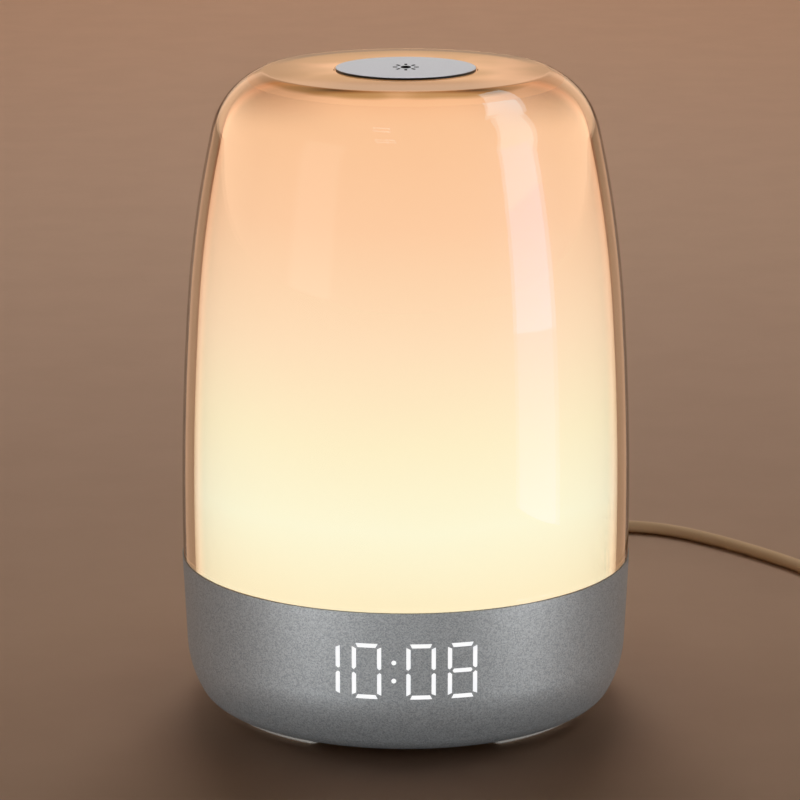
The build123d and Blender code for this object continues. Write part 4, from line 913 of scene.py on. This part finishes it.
def dress_nodes(nodes: dict[str, bpy.types.Object]) -> None:
    """Give every CAD node that stays its finish."""
    for finish, names in NODE_FINISHES.items():
        for name in names:
            slots = nodes[name].data.materials
            slots.clear()
            slots.append(finish.value.material())


# ---------------------------------------------------------------- room


@dataclass
class Softbox:
    """Rectangular lamp that points at the clock. Place in metres, radiance 1 is a white card."""

    name: str
    place: Place
    size: tuple[float, float]
    radiance: float
    colour: str = "FFFFFF"
    aim: Place = (0.0, 0.0, 0.09)
    mirrored: bool = True
    turn: float = 0.0         # degrees about its own axis
    only: tuple[str, ...] = ()        # nodes that it lights, or all when empty

    def build(self) -> None:
        """Make the lamp."""
        lamp = bpy.data.lights.new(self.name, "AREA")
        lamp.shape = "RECTANGLE"
        lamp.size, lamp.size_y = self.size
        lamp.energy = self.radiance * pi * self.size[0] * self.size[1]
        lamp.color = linear(self.colour)[:3]
        stand = bpy.data.objects.new(self.name, lamp)
        bpy.context.scene.collection.objects.link(stand)
        direction = Vector(self.aim) - Vector(self.place)
        stand.location = self.place
        facing = direction.to_track_quat("-Z", "Y")
        stand.rotation_euler = (facing @ Quaternion((0.0, 0.0, 1.0), radians(self.turn))).to_euler()
        stand.visible_camera = False
        stand.visible_glossy = self.mirrored
        stand.visible_transmission = self.mirrored
        if self.only:
            lit = bpy.data.collections.new(self.name)
            for name in self.only:
                lit.objects.link(bpy.data.objects[name])
            stand.light_linking.receiver_collection = lit


@dataclass
class Studio:
    """Pale floor, soft lamps and the camera."""

    floor_size: float = 12.0
    floor_colour: str = "CFAE96"
    ambient: float = 0.01
    ambient_colour: str = "F4EEE8"
    behind: float = 0.95
    behind_colour: str = "F2C8A4"
    camera_place: Place = (0.0, -0.86424, 0.28823)
    camera_pitch: float = 76.12527
    lens: float = 163.99
    shift_x: float = -0.00724

    def floor(self) -> None:
        """Wide plane under the clock, with the faint mottling of a matte table top."""
        mesh = bmesh.new()
        bmesh.ops.create_grid(mesh, x_segments=4, y_segments=4, size=self.floor_size / 2)
        data = bpy.data.meshes.new("studio_floor")
        mesh.to_mesh(data)
        mesh.free()
        piece = bpy.data.objects.new("studio_floor", data)
        bpy.context.scene.collection.objects.link(piece)
        data.materials.append(Moulded("matte_table_top", self.floor_colour, "CCAB93", 0.7, 1.5, 0.01).material())

    def world(self) -> None:
        """Dim light from all round, and a bright low horizon behind the clock."""
        world = bpy.data.worlds.new("studio_air")
        world.use_nodes = True
        tree = world.node_tree
        tree.nodes.clear()
        place = add_node(tree, "ShaderNodeTexCoord").outputs["Generated"]
        side = add_node(tree, "ShaderNodeSeparateXYZ", links={"Vector": place})
        back_half = add_node(tree, "ShaderNodeMapRange", {"From Min": 0.1, "From Max": 0.7},
                             {"Value": side.outputs["Y"]})
        share = add_node(tree, "ShaderNodeMapRange", {"From Min": 0.45, "From Max": 0.15},
                         {"Value": side.outputs["Z"], "To Max": back_half.outputs["Result"]})
        front = add_node(tree, "ShaderNodeBackground", {"Color": linear(self.ambient_colour),
                                                        "Strength": self.ambient})
        back = add_node(tree, "ShaderNodeBackground", {"Color": linear(self.behind_colour),
                                                       "Strength": self.behind})
        air = add_node(tree, "ShaderNodeMixShader", links={0: share.outputs["Result"], 1: front.outputs["Background"],
                                                           2: back.outputs["Background"]})
        add_node(tree, "ShaderNodeOutputWorld", links={"Surface": air.outputs["Shader"]})
        bpy.context.scene.world = world

    def camera(self) -> None:
        """Camera in front of the clock, a little above it."""
        data = bpy.data.cameras.new("studio_camera")
        data.lens = self.lens
        data.sensor_width = 36.0
        data.shift_x = self.shift_x
        camera = bpy.data.objects.new("studio_camera", data)
        bpy.context.scene.collection.objects.link(camera)
        camera.location = self.camera_place
        camera.rotation_euler = (radians(self.camera_pitch), 0.0, 0.0)
        bpy.context.scene.camera = camera

    @staticmethod
    def keep_glow_off_floor() -> None:
        """Let the diffuser light the clock alone, so that its shadow in front stays deep."""
        lit = bpy.data.collections.new("lit_by_the_opal")
        for piece in bpy.context.scene.objects:
            if piece.type in {"MESH", "CURVE"} and piece.name != "studio_floor":
                lit.objects.link(piece)
        bpy.data.objects["base_housing"].visible_diffuse = False
        for source in ("opal_diffuser", "key"):
            bpy.data.objects[source].light_linking.receiver_collection = lit

    def build(self) -> None:
        """Set up the room."""
        self.floor()
        self.world()
        self.camera()
        glass = ("clear_shell",)
        strip = {"colour": "B4E4F6", "only": glass}
        for name, height, radiance, colour in (("strip_low", 0.04, 1.0, "98A8FF"), ("strip_waist", 0.12, 2.2, "A8B8FF"),
                                               ("strip_chest", 0.2, 2.4, "C0D4FF")):
            Softbox(name, (0.24, -0.117, height), (0.114, 0.08), radiance, colour, (0.0, -0.117, height),
                    only=glass).build()
        Softbox("strip_middle", (0.24, -0.052, 0.332), (0.126, 0.27), 2.1, aim=(0.0, -0.052, 0.332), turn=-29.0,
                **strip).build()
        Softbox("strip_top", (0.24, 0.251, 0.624), (0.175, 0.6), 2.2, aim=(0.0, 0.251, 0.624), turn=-53.5,
                **strip).build()
        Softbox("small_high", (-0.103, -0.273, 0.582), (0.08, 0.014), 3.0, "E4EAFF", only=glass).build()
        Softbox("small_low", (-0.096, -0.395, 0.491), (0.1, 0.014), 3.0, "E4EAFF", only=glass).build()
        Softbox("broad_left", (-0.62, -0.5, 0.34), (0.36, 0.5), 0.28, "FFFFFF", only=glass).build()
        base = {"aim": (0.0, 0.0, 0.03), "colour": "FFFEFC", "only": ("base_housing", "foot_front_left", "foot_front_right")}
        Softbox("low_left", (-0.215, -0.235, 0.055), (0.18, 0.11), 8.4, **base).build()
        Softbox("low_front", (0.0, -0.32, 0.055), (0.16, 0.11), 3.0, **base).build()
        Softbox("low_right", (0.225, -0.165, 0.055), (0.12, 0.11), 9.2, **base).build()
        Softbox("low_behind", (0.0, 0.5, 0.24), (0.4, 0.2), 0.75, "D4ECFB", aim=(0.0, 0.0, 0.156),
                only=("touch_disc", "sun_print")).build()
        Softbox("over_plate", (0.0, 0.1, 0.45), (0.2, 0.2), 3.0, "F0F4FA", aim=(0.0, 0.0, 0.156),
                only=("touch_disc", "sun_print")).build()
        Softbox("cord_front", (0.24, -0.24, 0.3), (0.2, 0.2), 3.6, aim=(0.12, 0.1, 0.0), mirrored=False,
                only=("power_lead_jacket",)).build()
        Softbox("key", (0.0, 0.7, 0.85), (0.45, 0.45), 4.9, "FFFCF8", mirrored=False).build()
        floor = {"colour": "FFFCF8", "mirrored": False, "only": ("studio_floor",)}
        Softbox("floor_behind", (0.0, 0.7, 0.85), (0.45, 0.45), 3.9, **floor).build()
        Softbox("floor_left", (-0.5, 0.32, 0.62), (0.35, 0.35), 0.75, **floor).build()
        Softbox("floor_right", (0.5, 0.32, 0.62), (0.35, 0.35), 0.75, **floor).build()
        Softbox("backdrop", (0.0, 1.35, 0.9), (0.7, 0.5), 5.4, "FFE9D8", (0.0, 1.45, 0.0), mirrored=False).build()
        self.keep_glow_off_floor()
        bpy.context.scene.view_settings.view_transform = "Standard"


def main() -> None:
    """Dress the clock and set up the room."""
    logging.basicConfig(level=logging.INFO, format="%(name)s: %(message)s")
    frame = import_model()
    PowerLead().build()
    dress_nodes(frame["nodes"])
    Dome().build()
    TouchPlate().build()
    SunSymbol().build()
    bpy.context.view_layer.update()
    for mark in BUTTON_MARKS:
        mark.build(frame["nodes"][mark.node])
    Studio().build()


if __name__ == "__main__":
    main()
